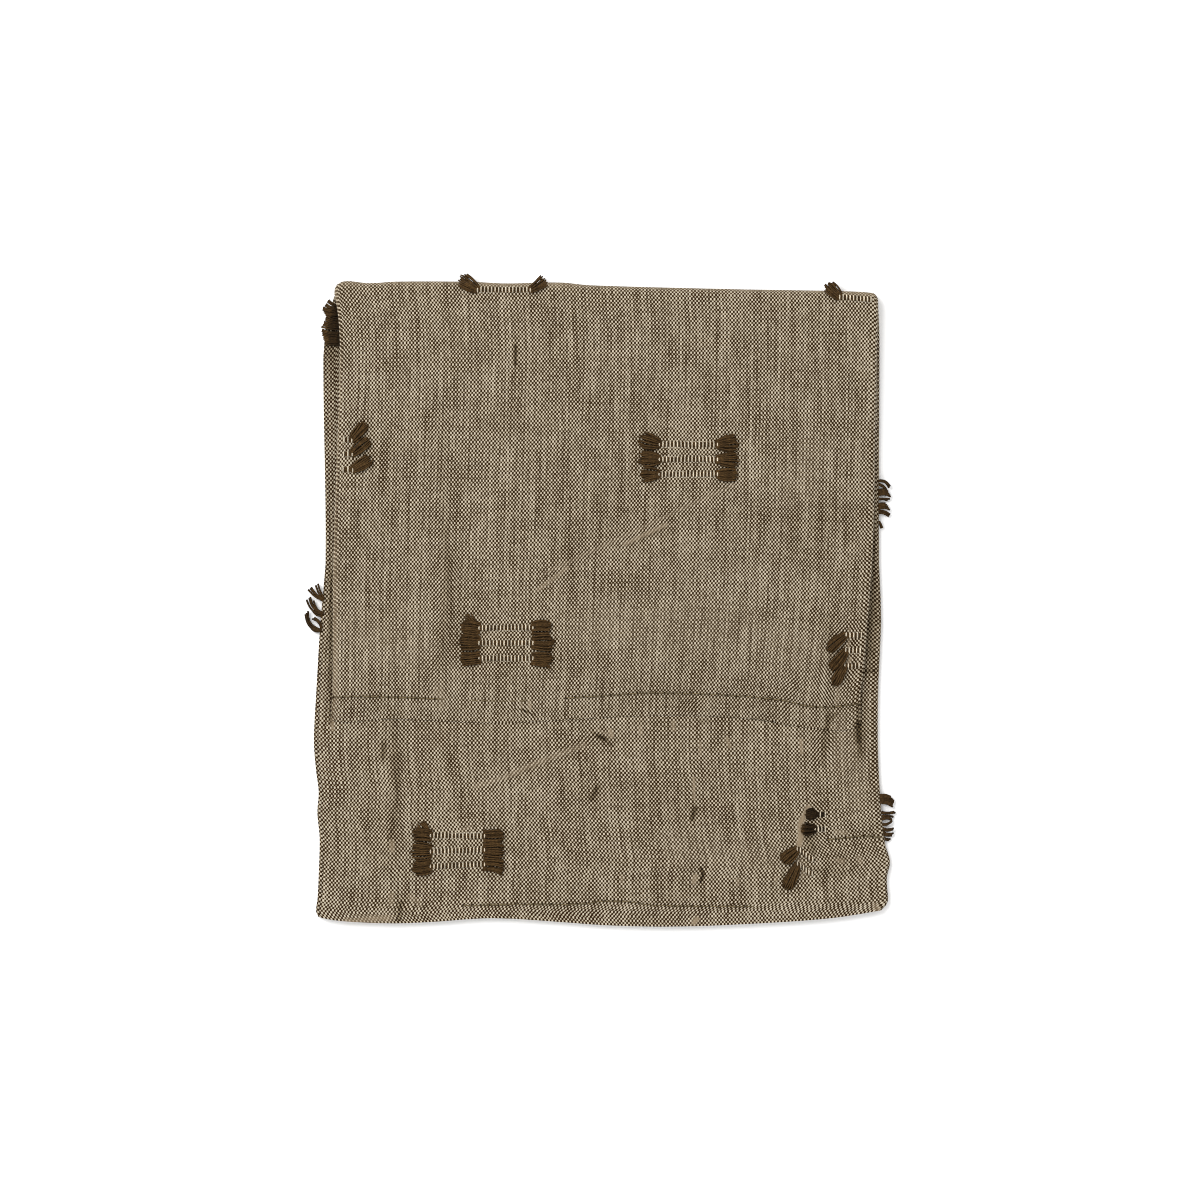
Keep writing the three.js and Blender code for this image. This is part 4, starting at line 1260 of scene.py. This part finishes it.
# Each line: how far its thread is sunk into the weave, more so where it is faint, and its turning places
stitch_lines = [
    (0.0, [(-116.1, -42.6), (-92.8, -42.6), (-72, -43.4)]),
    (0.36, [(-56.6, -44.0), (-44, -44.4), (-31.6, -44.3)]),
    (0.0, [(-15, -42.9), (-7.6, -42.6), (16.6, -41.0), (35.5, -41.0), (60.7, -42.1), (79.9, -44.2),
           (90.3, -46.5), (100.7, -47.0), (109.4, -46.0)]),
    (0.0, [(-59.8, -133.4), (-28.9, -132.8), (-8.9, -132.8), (-0.6, -131.8), (11.1, -131.7), (21.1, -133.1),
           (45.9, -133.8), (62.9, -133.8)]),
    (0.0, [(98.6, -104.8), (107.3, -104.0), (116.4, -103.1), (118.6, -103.5)]),
]


def stitch_tree():
    """A stitch from every hole in the line to the next, sunk at both ends, and the hole's painted shade."""
    tree, start, end = geometry_tree("hem_stitches", [
        ("Stitch length", "Float", 3.8 * MM), ("Thread radius", "Float", 0.24 * MM),
        ("Hole radius", "Float", 0.5 * MM), ("Thread sides", "Int", 7),
        ("Thread", "Material", None), ("Hole", "Material", None),
    ])
    stitch_long = start.outputs["Stitch length"]
    spots = spots_along(tree, start.outputs["Geometry"], stitch_long)
    tangent = joined(tree, "GeometryNodeInputTangent", {})
    turned = joined(tree, "FunctionNodeAlignRotationToVector", {"Vector": tangent}, axis="X")
    sunk = -0.15 * MM
    arch = joined(tree, "GeometryNodeCurveQuadraticBezier", {
        "Resolution": 8, "Start": vector_of(tree, 0.0, 0.0, sunk),
        "Middle": vector_of(tree, times(tree, stitch_long, 0.5), 0.0, 0.6 * MM),
        "End": vector_of(tree, stitch_long, 0.0, sunk),
    })
    thread = swept(tree, arch, start.outputs["Thread radius"], start.outputs["Thread sides"])
    thread = with_material(tree, thread, start.outputs["Thread"])
    # A hole's shade is painted as a flat dark button, a little longer across the stitches
    hole = joined(tree, "GeometryNodeMeshUVSphere",
                  {"Segments": 10, "Rings": 6, "Radius": start.outputs["Hole radius"]})
    hole = joined(tree, "GeometryNodeTransform", {"Geometry": hole, "Scale": (1.0, 1.2, 0.35)})
    hole = with_material(tree, hole, start.outputs["Hole"])
    stitches = joined(tree, "GeometryNodeInstanceOnPoints",
                      {"Points": spots, "Instance": together(tree, thread, hole), "Rotation": turned})
    stitches = joined(tree, "GeometryNodeRealizeInstances", {"Geometry": stitches})
    smooth = joined(tree, "GeometryNodeSetShadeSmooth", {"Geometry": stitches})
    tree.links.new(smooth, end.inputs["Geometry"])
    return tree


stitch_points, stitch_edges = [], []
for sunk, turns in stitch_lines:
    first, last = turns[0][0], turns[-1][0]
    x = np.linspace(first, last, max(8, round((last - first) / 2)))
    y = line_through(turns)(x)
    z = face_at(x, y) + thread_rise - sunk
    stitch_edges += [(len(stitch_points) + i, len(stitch_points) + i + 1) for i in range(len(x) - 1)]
    stitch_points += list(zip(x, y, z))
thread = yarn_material("hem_thread", (0.15, 0.11, 0.055), 1.2)
# The needle holes' dark material is painted shade
needle_hole_painted_shade = plain_material("needle_hole_painted_shade", (0.02, 0.012, 0.004), 0.95)[0]
stitching = made_plain(mesh_object("hem_stitching", stitch_points, (), stitch_edges), stitch_tree(),
                       {"Thread": thread, "Hole": needle_hole_painted_shade})
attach(stitching, "root")
